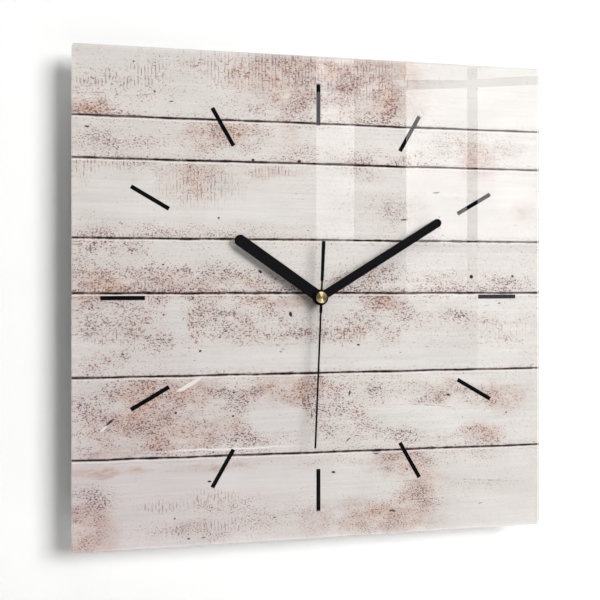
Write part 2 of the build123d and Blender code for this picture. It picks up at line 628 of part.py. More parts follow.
# ---- battery contacts: bent strips that reach from the cell to the board ----------------
STRIP_DEPTHS = (INSIDE_BACK + CLIP_GAP, INSIDE_BACK + CLIP_GAP + STRIP_WIDTH)
PLATE_DEPTHS = (STRIP_DEPTHS[0], STRIP_DEPTHS[0] + CONTACT_WIDTH)
PLATE_SPAN = (CELL_UP - CONTACT_WIDTH / 2, BAY_TOP)
CONTACT_BUMP = INNER - CELL_LENGTH / 2 - CONTACT_THICK - CONTACT_AIR
RIDGE_SLOPE = degrees(atan((STRIP_WIDTH - CONTACT_TIP) / 2 / CONTACT_BUMP))

with BuildPart() as negative_contact:
    left_x = (-INNER, -INNER + CONTACT_THICK)
    block(left_x, PLATE_SPAN, PLATE_DEPTHS)
    block(left_x, (BAY_TOP, BOARD_BOTTOM + PEG_INSET), STRIP_DEPTHS)
    with BuildSketch(cell_plane(-INNER + CONTACT_THICK)):
        Rectangle(STRIP_WIDTH, CONTACT_WIDTH - STRIP_WIDTH)
    extrude(amount=CONTACT_BUMP, taper=RIDGE_SLOPE)
save(negative_contact, "negative_contact")

with BuildPart() as positive_contact:
    right_x = (INNER - CONTACT_THICK, INNER)
    floor_span = (TRAIN_BOTTOM, TRAIN_BOTTOM + CONTACT_THICK)
    finger_x = (PEG_X, PEG_X + CONTACT_THICK)
    block(right_x, PLATE_SPAN, PLATE_DEPTHS)
    block(right_x, (BAY_TOP, floor_span[1]), STRIP_DEPTHS)
    block((PEG_X, INNER), floor_span, STRIP_DEPTHS)
    block(finger_x, (TRAIN_BOTTOM, BOARD_BOTTOM), STRIP_DEPTHS)
    with BuildSketch(cell_plane(INNER - CONTACT_THICK - CONTACT_BUMP)):
        Circle(NUB_R / 2)
    extrude(amount=CONTACT_BUMP)
save(positive_contact, "positive_contact")

# ---- cell: steel can, negative cap, nylon seal and printed sleeve -----------------------
CELL_LEFT = -CELL_LENGTH / 2
CELL_RIGHT = CELL_LENGTH / 2
CAN_R = CELL_R - SLEEVE_WALL
SEAL_R = END_CAP_R + SEAL_WIDTH

with BuildPart() as battery_can:
    with BuildSketch(cell_plane(CELL_LEFT)):
        Circle(CAN_R)
    extrude(amount=CELL_LENGTH - NUB_LENGTH)
    fillet(battery_can.edges().group_by(Axis.X)[-1], SLEEVE_WALL * 2)
    with BuildSketch(cell_plane(CELL_RIGHT - NUB_LENGTH)):
        Circle(NUB_R)
    extrude(amount=NUB_LENGTH)
    fillet(battery_can.edges().group_by(Axis.X)[-1], SLEEVE_WALL)
    with BuildSketch(cell_plane(CELL_LEFT)):
        Circle(SEAL_R)
    extrude(amount=END_CAP_THICK, mode=Mode.SUBTRACT)
save(battery_can, "battery_can")

with BuildPart() as battery_seal:
    with BuildSketch(cell_plane(CELL_LEFT)):
        Circle(SEAL_R)
        Circle(END_CAP_R, mode=Mode.SUBTRACT)
    extrude(amount=END_CAP_THICK)
save(battery_seal, "battery_seal")

with BuildPart() as battery_end_cap:
    with BuildSketch(cell_plane(CELL_LEFT)):
        Circle(END_CAP_R)
    extrude(amount=END_CAP_THICK)
save(battery_end_cap, "battery_end_cap")

with BuildPart() as battery_sleeve:
    with BuildSketch(cell_plane(CELL_LEFT + SLEEVE_WALL)):
        Circle(CELL_R)
        Circle(CAN_R, mode=Mode.SUBTRACT)
    extrude(amount=CELL_LENGTH - NUB_LENGTH - 4 * SLEEVE_WALL)
save(battery_sleeve, "battery_sleeve")

# ---- gear phases, each in mesh with the one before --------------------------------------
ROTOR_MODULE = module_for(ROTOR_DISTANCE, ROTOR_TEETH, STEP_WHEEL_TEETH)
STEP_MODULE = module_for(STEP_DISTANCE, STEP_PINION_TEETH, SECONDS_WHEEL_TEETH)
SECONDS_MODULE = module_for(THIRD_DISTANCE, SECONDS_PINION_TEETH, THIRD_WHEEL_TEETH)
THIRD_MODULE = module_for(THIRD_DISTANCE, THIRD_PINION_TEETH, MINUTE_WHEEL_TEETH)

STEP_WHEEL_PHASE = in_mesh(ROTOR_TEETH, STEP_WHEEL_TEETH, ROTOR_ANGLE + 180)
SECONDS_WHEEL_PHASE = in_mesh(STEP_PINION_TEETH, SECONDS_WHEEL_TEETH, STEP_ANGLE + 180)
THIRD_WHEEL_PHASE = in_mesh(SECONDS_PINION_TEETH, THIRD_WHEEL_TEETH, THIRD_ANGLE)
MINUTE_WHEEL_PHASE = in_mesh(THIRD_PINION_TEETH, MINUTE_WHEEL_TEETH, THIRD_ANGLE + 180)
MOTION_WHEEL_PHASE = in_mesh(CANNON_TEETH, MOTION_WHEEL_TEETH, MOTION_ANGLE)
HOUR_WHEEL_PHASE = in_mesh(MOTION_PINION_TEETH, HOUR_WHEEL_TEETH, MOTION_ANGLE + 180)
SETTING_PHASE = in_mesh(MOTION_WHEEL_TEETH, SETTING_TEETH, SETTING_ANGLE, MOTION_WHEEL_PHASE)
PINION_OVERLAP = (PINION_FACE - WHEEL_THICK) / 2

# ---- rotor: magnet on a moulded pinion --------------------------------------------------
ROTOR_FRONT = STEP_LEVEL + WHEEL_THICK + PINION_OVERLAP

with BuildPart() as rotor_pinion:
    pivots(ROTOR, MAGNET_BACK, PLATE_BACK + PLATE_THICK / 2)
    round_step(MAGNET_BACK, STEP_LEVEL - PINION_OVERLAP, HUB_R, ROTOR)
    gear(STEP_LEVEL - PINION_OVERLAP, ROTOR_FRONT, ROTOR,
         ROTOR_TEETH, ROTOR_MODULE, PINION_ADDENDUM, 0.0)
save(rotor_pinion, "rotor_pinion")

with BuildPart() as rotor_magnet:
    round_step(MAGNET_BACK, MAGNET_BACK + MAGNET_THICK, MAGNET_R, ROTOR, bore=HUB_R)
save(rotor_magnet, "rotor_magnet")

# ---- step wheel: takes the rotor's half turns down to the second hand -------------------
with BuildPart() as step_wheel:
    pivots(STEP, REAR_STACK, PLATE_BACK + PLATE_THICK / 2)
    round_step(REAR_STACK, SECONDS_LEVEL - PINION_OVERLAP, 2 * PIVOT_R, STEP)
    gear(SECONDS_LEVEL - PINION_OVERLAP, STEP_LEVEL, STEP,
         STEP_PINION_TEETH, STEP_MODULE, PINION_ADDENDUM, 0.0)
    gear(STEP_LEVEL, STEP_LEVEL + WHEEL_THICK, STEP,
         STEP_WHEEL_TEETH, ROTOR_MODULE, WHEEL_ADDENDUM, STEP_WHEEL_PHASE)
save(step_wheel, "step_wheel")

# ---- seconds wheel on its steel arbor ---------------------------------------------------
with BuildPart() as seconds_wheel:
    round_step(REAR_STACK, THIRD_LEVEL - PINION_OVERLAP, HUB_R, bore=ARBOR_R)
    gear(SECONDS_LEVEL, SECONDS_LEVEL + WHEEL_THICK, CENTRE,
         SECONDS_WHEEL_TEETH, STEP_MODULE, WHEEL_ADDENDUM, SECONDS_WHEEL_PHASE, bore=ARBOR_R)
    gear(THIRD_LEVEL - PINION_OVERLAP, THIRD_LEVEL + WHEEL_THICK + PINION_OVERLAP, CENTRE,
         SECONDS_PINION_TEETH, SECONDS_MODULE, PINION_ADDENDUM, 0.0, bore=ARBOR_R)
save(seconds_wheel, "seconds_wheel")

with BuildPart() as seconds_arbor:
    round_step(PIVOT_END, ARBOR_END, ARBOR_R)
save(seconds_arbor, "seconds_arbor")

# ---- third wheel: its pinion is in front of the middle plate ----------------------------
THIRD_NECK_R = THIRD_MODULE * (THIRD_PINION_TEETH / 2 - DEDENDUM)

with BuildPart() as third_wheel:
    pivots(THIRD, REAR_STACK, THIRD_BOSS_BACK + PIVOT_LENGTH)
    round_step(REAR_STACK, THIRD_LEVEL, 2 * PIVOT_R, THIRD)
    gear(THIRD_LEVEL, THIRD_LEVEL + WHEEL_THICK, THIRD,
         THIRD_WHEEL_TEETH, SECONDS_MODULE, WHEEL_ADDENDUM, THIRD_WHEEL_PHASE)
    round_step(THIRD_LEVEL, MINUTE_LEVEL, THIRD_NECK_R, THIRD)
    gear(MINUTE_LEVEL - PINION_OVERLAP, MINUTE_LEVEL + WHEEL_THICK + PINION_OVERLAP, THIRD,
         THIRD_PINION_TEETH, THIRD_MODULE, PINION_ADDENDUM, 0.0)
save(third_wheel, "third_wheel")

# ---- minute wheel on the minute pipe, which carries the cannon pinion -------------------
with BuildPart() as minute_pipe:
    round_step(PLATE_BACK + END_PLAY, PLATE_FRONT + END_PLAY, HUB_R, bore=MINUTE_BORE_R)
    round_step(PLATE_FRONT + END_PLAY, MINUTE_PIPE_END, MINUTE_PIPE_R, bore=MINUTE_BORE_R)
    gear(MOTION_LEVEL - PINION_OVERLAP, MOTION_LEVEL + WHEEL_THICK + PINION_OVERLAP, CENTRE,
         CANNON_TEETH, MOTION_MODULE, PINION_ADDENDUM, 0.0, bore=MINUTE_BORE_R)
save(minute_pipe, "minute_pipe")

with BuildPart() as minute_wheel:
    gear(MINUTE_LEVEL, MINUTE_LEVEL + WHEEL_THICK, CENTRE,
         MINUTE_WHEEL_TEETH, THIRD_MODULE, WHEEL_ADDENDUM, MINUTE_WHEEL_PHASE,
         bore=MINUTE_PIPE_R)
save(minute_wheel, "minute_wheel")

# ---- motion wheel: turns on a post of the case ------------------------------------------

with BuildPart() as motion_wheel:
    gear(MOTION_LEVEL, MOTION_LEVEL + WHEEL_THICK, MOTION, MOTION_WHEEL_TEETH, MOTION_MODULE,
         WHEEL_ADDENDUM, MOTION_WHEEL_PHASE, bore=MOTION_HUB_BORE_R)
    gear(MOTION_LEVEL + WHEEL_THICK, HOUR_LEVEL + WHEEL_THICK + PINION_OVERLAP, MOTION,
         MOTION_PINION_TEETH, MOTION_MODULE, PINION_ADDENDUM, 0.0, bore=MOTION_HUB_BORE_R)
save(motion_wheel, "motion_wheel")

# ---- hour wheel with its pipe -----------------------------------------------------------
with BuildPart() as hour_wheel:
    gear(HOUR_LEVEL, HOUR_LEVEL + WHEEL_THICK, CENTRE, HOUR_WHEEL_TEETH, MOTION_MODULE,
         WHEEL_ADDENDUM, HOUR_WHEEL_PHASE, bore=HOUR_BORE_R)
    round_step(HOUR_LEVEL, INSIDE_FRONT - END_PLAY, HOUR_PIPE_R + END_PLAY * 3, bore=HOUR_BORE_R)
    round_step(HOUR_LEVEL, HOUR_PIPE_END, HOUR_PIPE_R, bore=HOUR_BORE_R)
save(hour_wheel, "hour_wheel")

# ---- setting arbor and knob -------------------------------------------------------------
SETTING_NECK_R = MOTION_MODULE * (SETTING_TEETH / 2 - DEDENDUM)
SETTING_FRONT = MOTION_LEVEL + WHEEL_THICK + PINION_OVERLAP

with BuildPart() as setting_arbor:
    round_step(KNOB_TOP_DEPTH + HUB_R, PLATE_FRONT, STEM_R, SETTING)
    round_step(PLATE_FRONT, SETTING_FRONT, SETTING_NECK_R, SETTING)
    gear(MOTION_LEVEL - PINION_OVERLAP, SETTING_FRONT, SETTING,
         SETTING_TEETH, MOTION_MODULE, PINION_ADDENDUM, SETTING_PHASE)
    round_step(SETTING_FRONT, SETTING_BOSS_BACK + PIVOT_LENGTH, PIVOT_R, SETTING)
save(setting_arbor, "setting_arbor")

with BuildPart() as setting_knob:
    round_step(KNOB_TOP_DEPTH, KNOB_INNER_DEPTH, KNOB_R, SETTING)
    with BuildSketch(plane_at(KNOB_TOP_DEPTH, SETTING)):
        with PolarLocations(KNOB_R, KNOB_GROOVES):
            Circle(KNOB_GROOVE_R)
    extrude(amount=KNOB_INNER_DEPTH - KNOB_TOP_DEPTH, mode=Mode.SUBTRACT)
    round_step(KNOB_TOP_DEPTH, KNOB_TOP_DEPTH + KNOB_GROOVE_R, KNOB_R - 2 * HUB_R, SETTING,
               bore=STEM_R + HUB_R, mode=Mode.SUBTRACT)
    round_step(KNOB_TOP_DEPTH + HUB_R, KNOB_INNER_DEPTH, STEM_R, SETTING, mode=Mode.SUBTRACT)
save(setting_knob, "setting_knob")


# ---- hands ------------------------------------------------------------------------------
def blade(back, angle, length, width, bush_r):
    """A bar with a round tip, a round hub and a bevelled front, bored for its bush."""
    for start, rise, slope in (
        (back, HAND_THICK - HAND_BEVEL, 0),
        (back + HAND_THICK - HAND_BEVEL, HAND_BEVEL, 45),
    ):
        with BuildSketch(plane_at(start, CENTRE, angle)) as outline:
            Rectangle(width, length - width / 2, align=(Align.CENTER, Align.MIN))
            with Locations((0, length - width / 2)):
                Circle(width / 2)
            Circle(HAND_HUB_R)
        extrude(outline.sketch, amount=rise, taper=slope)
    round_step(back, back + HAND_THICK, bush_r, mode=Mode.SUBTRACT)


HOUR_BUSH_R = HOUR_PIPE_R + BUSH_WALL
MINUTE_BUSH_R = MINUTE_PIPE_R + BUSH_WALL

with BuildPart() as hour_hand:
    blade(HOUR_HAND_BACK, HOUR_ANGLE, HOUR_LENGTH, HOUR_WIDTH, HOUR_BUSH_R)
save(hour_hand, "hour_hand")

with BuildPart() as hour_hand_bush:
    round_step(HOUR_HAND_BACK - BUSH_STANDOUT, HOUR_PIPE_END, HOUR_BUSH_R, bore=HOUR_PIPE_R)
save(hour_hand_bush, "hour_hand_bush")

with BuildPart() as minute_hand:
    blade(MINUTE_HAND_BACK, MINUTE_ANGLE, MINUTE_LENGTH, MINUTE_WIDTH, MINUTE_BUSH_R)
save(minute_hand, "minute_hand")

with BuildPart() as minute_hand_bush:
    round_step(MINUTE_HAND_BACK - BUSH_STANDOUT, MINUTE_PIPE_END, MINUTE_BUSH_R,
               bore=MINUTE_PIPE_R)
save(minute_hand_bush, "minute_hand_bush")

SECOND_PIPE_R = ARBOR_R + SECOND_PIPE_WALL

with BuildPart() as second_hand:
    with BuildSketch(plane_at(SECOND_HAND_BACK, CENTRE, SECOND_ANGLE)):
        Rectangle(SECOND_WIDTH, SECOND_LENGTH, align=(Align.CENTER, Align.MIN))
        Rectangle(SECOND_ROOT_WIDTH, SECOND_ROOT_LENGTH, align=(Align.CENTER, Align.MIN))
        Rectangle(SECOND_WIDTH, TAIL_NECK_LENGTH, align=(Align.CENTER, Align.MAX))
        inner_width, outer_width = TAIL_WIDTHS
        with BuildLine():
            Polyline(
                (-inner_width / 2, -TAIL_NECK_LENGTH),
                (inner_width / 2, -TAIL_NECK_LENGTH),
                (outer_width / 2, -TAIL_LENGTH),
                (-outer_width / 2, -TAIL_LENGTH),
                close=True,
            )
        make_face()
        Circle(SECOND_HUB_R)
        Circle(SECOND_PIPE_R, mode=Mode.SUBTRACT)
    extrude(amount=SECOND_THICK)
save(second_hand, "second_hand")

with BuildPart() as second_hand_pipe:
    round_step(SECOND_HAND_BACK - BUSH_STANDOUT, CAP_BACK, SECOND_PIPE_R, bore=ARBOR_R)
save(second_hand_pipe, "second_hand_pipe")

with BuildPart() as second_hand_cap:
    round_step(CAP_BACK, CAP_BACK + CAP_THICK, CAP_R)
    chamfer(second_hand_cap.faces().sort_by(Axis.Y)[0].edges(), CAP_EDGE)
    round_step(CAP_BACK, ARBOR_END, ARBOR_R, mode=Mode.SUBTRACT)
save(second_hand_cap, "second_hand_cap")
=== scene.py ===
# %% [markdown]
# # A square glass wall clock
# A clock like this is a pane of toughened glass, printed on its back with whitewashed
# planks and twelve black hour bars, with a small battery movement bonded behind it. The
# frame below holds every piece at its real size and place, so the work here is finish:
# what each surface is made of, how it was made, and the light that shows it.

# %% Load the frame
import math

import bpy
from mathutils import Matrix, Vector


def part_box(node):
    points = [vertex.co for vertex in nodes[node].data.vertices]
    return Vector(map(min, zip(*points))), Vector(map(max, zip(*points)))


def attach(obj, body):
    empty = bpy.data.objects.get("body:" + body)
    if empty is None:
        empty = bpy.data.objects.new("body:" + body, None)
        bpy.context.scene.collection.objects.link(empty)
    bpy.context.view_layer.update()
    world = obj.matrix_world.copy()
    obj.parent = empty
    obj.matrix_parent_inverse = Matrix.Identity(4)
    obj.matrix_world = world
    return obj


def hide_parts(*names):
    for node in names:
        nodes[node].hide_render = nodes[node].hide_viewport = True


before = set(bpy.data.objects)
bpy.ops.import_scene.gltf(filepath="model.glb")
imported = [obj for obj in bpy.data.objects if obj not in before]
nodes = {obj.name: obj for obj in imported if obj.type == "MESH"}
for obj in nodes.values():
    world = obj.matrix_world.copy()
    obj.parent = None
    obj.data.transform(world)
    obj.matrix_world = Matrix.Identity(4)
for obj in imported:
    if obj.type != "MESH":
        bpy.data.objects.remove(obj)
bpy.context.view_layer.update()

MM = 0.001
print("pieces in the frame:", len(nodes))

# %% [markdown]
# Every size below comes from the frame's own boxes. The front face of the glass and the
# axis of the hands are the two places that the camera, the light and the print are set
# out from. Axes: +X is to the reader's right, +Z is up and the dial faces -Y.

# %% Measure the dial
glass_low, glass_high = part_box("glass_panel")
glass_centre = (glass_low + glass_high) / 2
DIAL = Vector((glass_centre.x, glass_low.y, glass_centre.z))
HALF_SIDE = (glass_high.x - glass_low.x) / 2
print("dial centre", [round(v / MM, 2) for v in DIAL], "half side", round(HALF_SIDE / MM, 1))

# %% [markdown]
# The camera stands level with the clock and to its left, about twice the dial's width
# away, and is turned so that the pane fills the square frame with its right side further
# off. A short distance and a modest lens give the same strong perspective as a hand-held
# shot. The small vertical shift keeps upright edges upright.

# %% Camera
CAMERA_LEFT = 150.1 * MM
CAMERA_AWAY = 578.8 * MM
CAMERA_ABOVE = 10.1 * MM
CAMERA_TURN = math.radians(13.38)
SENSOR_WIDTH = 36.0
FOCAL_LENGTH = 57.69
SHIFT_UP = -0.0315

camera_data = bpy.data.cameras.new("camera")
camera_data.sensor_width = SENSOR_WIDTH
camera_data.lens = FOCAL_LENGTH
camera_data.shift_y = SHIFT_UP
camera = bpy.data.objects.new("camera", camera_data)
camera.location = DIAL + Vector((-CAMERA_LEFT, -CAMERA_AWAY, CAMERA_ABOVE))
camera.rotation_euler = (math.radians(90), 0, -CAMERA_TURN)
bpy.context.scene.collection.objects.link(camera)
bpy.context.scene.camera = camera
bpy.context.view_layer.update()
ZOOM = FOCAL_LENGTH / SENSOR_WIDTH
for side in (-1, 1):
    for rise in (1, -1):
        corner = DIAL + Vector((side * HALF_SIDE, 0, rise * HALF_SIDE))
        seen = camera.matrix_world.inverted() @ corner
        across = 0.5 + ZOOM * seen.x / -seen.z
        up = 0.5 + ZOOM * seen.y / -seen.z - SHIFT_UP
        print("corner", side, rise, "at", round(across, 3), round(up, 3), "of the frame")

# %% [markdown]
# A shader is a small network of nodes. One helper adds a node, sets it up and joins its
# inputs, so that each finish reads as a list of what it does. Colours are written as the
# sRGB hex values that a paint chart would give, and turned to the linear values that a
# renderer works in.

# %% Helpers for materials
def linear(hex_colour):
    """An sRGB hex colour as linear red, green, blue and alpha."""
    parts = [int(hex_colour[i:i + 2], 16) / 255 for i in (1, 3, 5)]
    return [p / 12.92 if p <= 0.04045 else ((p + 0.055) / 1.055) ** 2.4 for p in parts] + [1.0]


def add(tree, kind, inputs=None, output=0, **settings):
    """Adds a node with its settings and links, and gives the output that is wanted."""
    made = tree.nodes.new("ShaderNode" + kind)
    for name, value in settings.items():
        setattr(made, name, value)
    for name, value in (inputs or {}).items():
        if isinstance(value, bpy.types.NodeSocket):
            tree.links.new(value, made.inputs[name])
        else:
            made.inputs[name].default_value = value
    return made.outputs[output]


def blank(name):
    """A new material with an empty tree."""
    material = bpy.data.materials.new(name)
    material.use_nodes = True
    material.node_tree.nodes.clear()
    return material


def end_with(tree, shader, kind="Material"):
    """Joins the last shader of a tree to its output."""
    last = tree.nodes.new("ShaderNodeOutput" + kind)
    tree.links.new(shader, last.inputs["Surface"])


def surface(material, **inputs):
    """Ends a material with one Principled shader."""
    sockets = {name.replace("_", " "): value for name, value in inputs.items()}
    tree = material.node_tree
    end_with(tree, add(tree, "BsdfPrincipled", sockets))
    return material


def glowing(name, colour, strength):
    """A material that only gives off light."""
    material = blank(name)
    tree = material.node_tree
    end_with(tree, add(tree, "Emission", {"Color": linear(colour), "Strength": strength}))
    return material


def place_in_mm(tree):
    """Where a point is on the object, in millimetres."""
    place = add(tree, "TexCoord", output="Object")
    return add(tree, "Mapping", {"Vector": place, "Scale": (1 / MM, 1 / MM, 1 / MM)})


# %% [markdown]
# ## Room and light
# The clock hangs on a plain white wall. The wall is a thin sheet that only shows from its
# front, so that the back of the clock can be looked at as well, and a pale floor lies
# further down. Both are stage, not part of the clock.

# %% Wall and floor
def piece_from(name, points, faces):
    """A piece made from its points and faces, added to the scene."""
    mesh = bpy.data.meshes.new(name)
    mesh.from_pydata(points, [], faces)
    made = bpy.data.objects.new(name, mesh)
    bpy.context.scene.collection.objects.link(made)
    return made


def sheet(name, centre, across, up):
    """A flat four-cornered piece, from its centre and two half sides."""
    centre, across, up = Vector(centre), Vector(across), Vector(up)
    corners = [centre - across - up, centre + across - up,
               centre + across + up, centre - across + up]
    made = piece_from(name, corners, [(0, 1, 2, 3)])
    return made


def only_in_reflections(made):
    """Hides a glowing sheet from everything but shiny surfaces."""
    made.visible_camera = made.visible_diffuse = made.visible_shadow = False
    made.visible_transmission = made.visible_volume_scatter = False


WALL_GAP = 0.2 * MM
FLOOR_DROP = 0.9         # metres below the hanger
ROOM = 3.0               # half the side of the wall and of the floor, in metres

wall_paint = blank("matt_white_wall_paint")
tree = wall_paint.node_tree
paint = add(tree, "BsdfDiffuse", {"Color": linear("#fdfdfd")})
clear = add(tree, "BsdfTransparent")
back = add(tree, "NewGeometry", output="Backfacing")
shown = add(tree, "MixShader", {0: back, 1: paint, 2: clear})
end_with(tree, shown)

wall = sheet("wall", (0, WALL_GAP, 0), (ROOM, 0, 0), (0, 0, ROOM))
wall.data.materials.append(wall_paint)
wall.visible_shadow = False

floor_paint = surface(blank("pale_grey_floor"), Base_Color=linear("#e9e8e6"), Roughness=0.8)
floor = sheet("floor", (0, 0, -FLOOR_DROP), (ROOM, 0, 0), (0, ROOM, 0))
floor.data.materials.append(floor_paint)
print("wall at", WALL_GAP / MM, "mm behind the hanger")

# %% [markdown]
# The main light is a large soft lamp up on the right, so the pane throws a dark band on
# the wall at its left and the hands throw soft shadows to the left and a little down. A
# weak all-round light keeps the shadows from going black. A strip near the ceiling shows
# only in reflections, and is what fans out over the turned brass cap. Two lamps behind
# the wall light the back of the clock when it is looked at from there. They stop at the
# first surface, so nothing of them reaches the front.

# %% Lamps
def lamp(name, aim, place, size, watts, bounces=None):
    """A square soft lamp at a place, pointed at another, in metres from the dial's centre."""
    data = bpy.data.lights.new(name, "AREA")
    data.shape = "SQUARE"
    data.size = size
    data.energy = watts
    made = bpy.data.objects.new(name, data)
    made.location = DIAL + Vector(place)
    made.rotation_euler = (Vector(aim) - Vector(place)).to_track_quat("-Z", "Y").to_euler()
    made.visible_camera = False
    made.visible_transmission = False
    if bounces is not None:
        data.cycles.max_bounces = bounces
    bpy.context.scene.collection.objects.link(made)
    return made


key = lamp("key_right", (0, 0, 0), (1.25, -1.85, 0.7), 1.15, 56)
key.visible_glossy = False
lamp("top_strip", (0, 0, 0), (0.2, -0.6, 1.6), 0.8, 6)
lamp("rear_left", (0, 0, 0), (-1.2, 1.6, 0.9), 1.0, 34, bounces=0)
lamp("rear_right", (0, 0, 0), (1.3, 1.5, 0.2), 1.0, 22, bounces=0)

STRIP_GLOW = 15.0
strip = sheet("ceiling_strip", (0.2, -1.0, 1.05), (0.4, 0, 0), (0, 0.25, 0.25))
strip.data.materials.append(glowing("ceiling_strip_glow", "#fffaf0", STRIP_GLOW))
only_in_reflections(strip)

PLAIN_ROOM = 1.0         # what the viewer sees past the wall
FILL = 0.07              # all-round light on matt surfaces
ROOM_IN_FRONT = 0.05     # what reflections find in front of the clock
ROOM_BEHIND = 0.6        # and behind it

world = bpy.data.worlds.new("studio")
bpy.context.scene.world = world
world.use_nodes = True
tree = world.node_tree
tree.nodes.clear()
rays = add(tree, "LightPath", output="Is Camera Ray")
glossy = add(tree, "LightPath", output="Is Glossy Ray")
facing = add(tree, "SeparateXYZ", {0: add(tree, "TexCoord", output="Generated")}, output="Y")
# reflections find a dark room in front of the clock and a lighter one behind it
room = add(tree, "MapRange", {"Value": facing, "From Min": -0.1, "From Max": 0.3,
                              "To Min": ROOM_IN_FRONT, "To Max": ROOM_BEHIND})
fill = add(tree, "Mix", {"Factor": glossy, 2: FILL, 3: room}, output=0, data_type="FLOAT")
dim = add(tree, "Background", {"Color": linear("#ffffff"), "Strength": fill})
bright = add(tree, "Background", {"Color": linear("#ffffff"), "Strength": PLAIN_ROOM})
both = add(tree, "MixShader", {0: rays, 1: dim, 2: bright})
end_with(tree, both, "World")
bpy.context.scene.view_settings.view_transform = "Standard"

# %% [markdown]
# Clean glass shows the room. A tall window stands behind and to the right of the viewer,
# and its panes are what brighten the upper right of the dial, with the dark glazing bars
# between them. The panes glow only in reflections. Each is set out from where its
# reflection should lie on the glass: a line from the camera to that spot is mirrored and
# followed to the window's upright plane, which is turned a little, so that the bars
# slope as they do in perspective. The low panes are dimmer than the rest, and so is the
# curtain, which hangs to their left.

# %% Window
WINDOW_POINT = Vector((1.35, -2.34))
WINDOW_RUN = Vector((-0.667, -0.318)).normalized()


def window_spot(across, up):
    """Where the window's plane is hit by the mirrored line of sight through a dial spot."""
    spot = DIAL + Vector((across, 0, up)) * MM
    sight = spot - camera.location
    sight.y = -sight.y
    run = WINDOW_RUN
    gap = WINDOW_POINT - Vector((spot.x, spot.y))
    reach = (gap.x * run.y - gap.y * run.x) / (sight.x * run.y - sight.y * run.x)
    return spot + sight * reach


def pane(name, left, right, low, high, glow):
    """A glowing window pane, from the sides and the top and bottom of its reflection."""
    corners = [window_spot(left, low[0]), window_spot(right, low[1]),
               window_spot(right, high[1]), window_spot(left, high[0])]
    made = piece_from(name, corners, [(0, 1, 2, 3)])
    made.data.materials.append(glowing(name + "_sky", "#fdfdff", glow))
    only_in_reflections(made)


# left and right sides, then heights at those two sides, in millimetres on the dial
PANES_1 = (57, 98.5)
PANES_2 = (105.7, 190)
CURTAIN = (-2, 22.5)
MIDDLE_SILL = (34.7, 34.7)
LOW_HEAD = (28.5, 28.5)
PANE_GLOW = 3.3
LOW_GLOW_1 = PANE_GLOW * 0.35
LOW_GLOW_2 = PANE_GLOW * 0.3
CURTAIN_GLOW = PANE_GLOW * 0.6
pane("pane_1_top", *PANES_1, (138, 140), (175, 180), PANE_GLOW)
pane("pane_2_top", *PANES_2, (141, 149), (180, 190), PANE_GLOW)
pane("pane_1_middle", *PANES_1, MIDDLE_SILL, (131.5, 135), PANE_GLOW)
pane("pane_2_middle", *PANES_2, MIDDLE_SILL, (135.5, 143), PANE_GLOW)
pane("pane_1_low", *PANES_1, (-2, -2), LOW_HEAD, LOW_GLOW_1)
pane("pane_2_low", *PANES_2, (-47, -47), LOW_HEAD, LOW_GLOW_2)
pane("curtain_top", *CURTAIN, (132, 134), (172, 174), CURTAIN_GLOW)
pane("curtain", *CURTAIN, (35, 35), (127.5, 129.5), CURTAIN_GLOW)

# %% [markdown]
# ## The printed planks
# The dial is a print of rough planks that were painted white and rubbed back. It is ink,
# so it is all colour and no relief, and it is built up as the planks themselves were:
# paint, brush streaks, places where the paint is worn through to brown wood, rows of saw
# marks, stains, and last the dark joints between the planks. Worn places are soft ovals
# with fine grain in them. Everything is set out in millimetres from the axis of the hands.

# %% Where the planks meet and where they are worn
# Each joint is its height at the middle and its fall towards the right.
PLANK_JOINTS = [
    (108.4, 0.0), (83.2, 0.0), (35.8, 0.0), (2.7, 0.002), (-47.1, 0.0), (-96.7, 0.006),
]

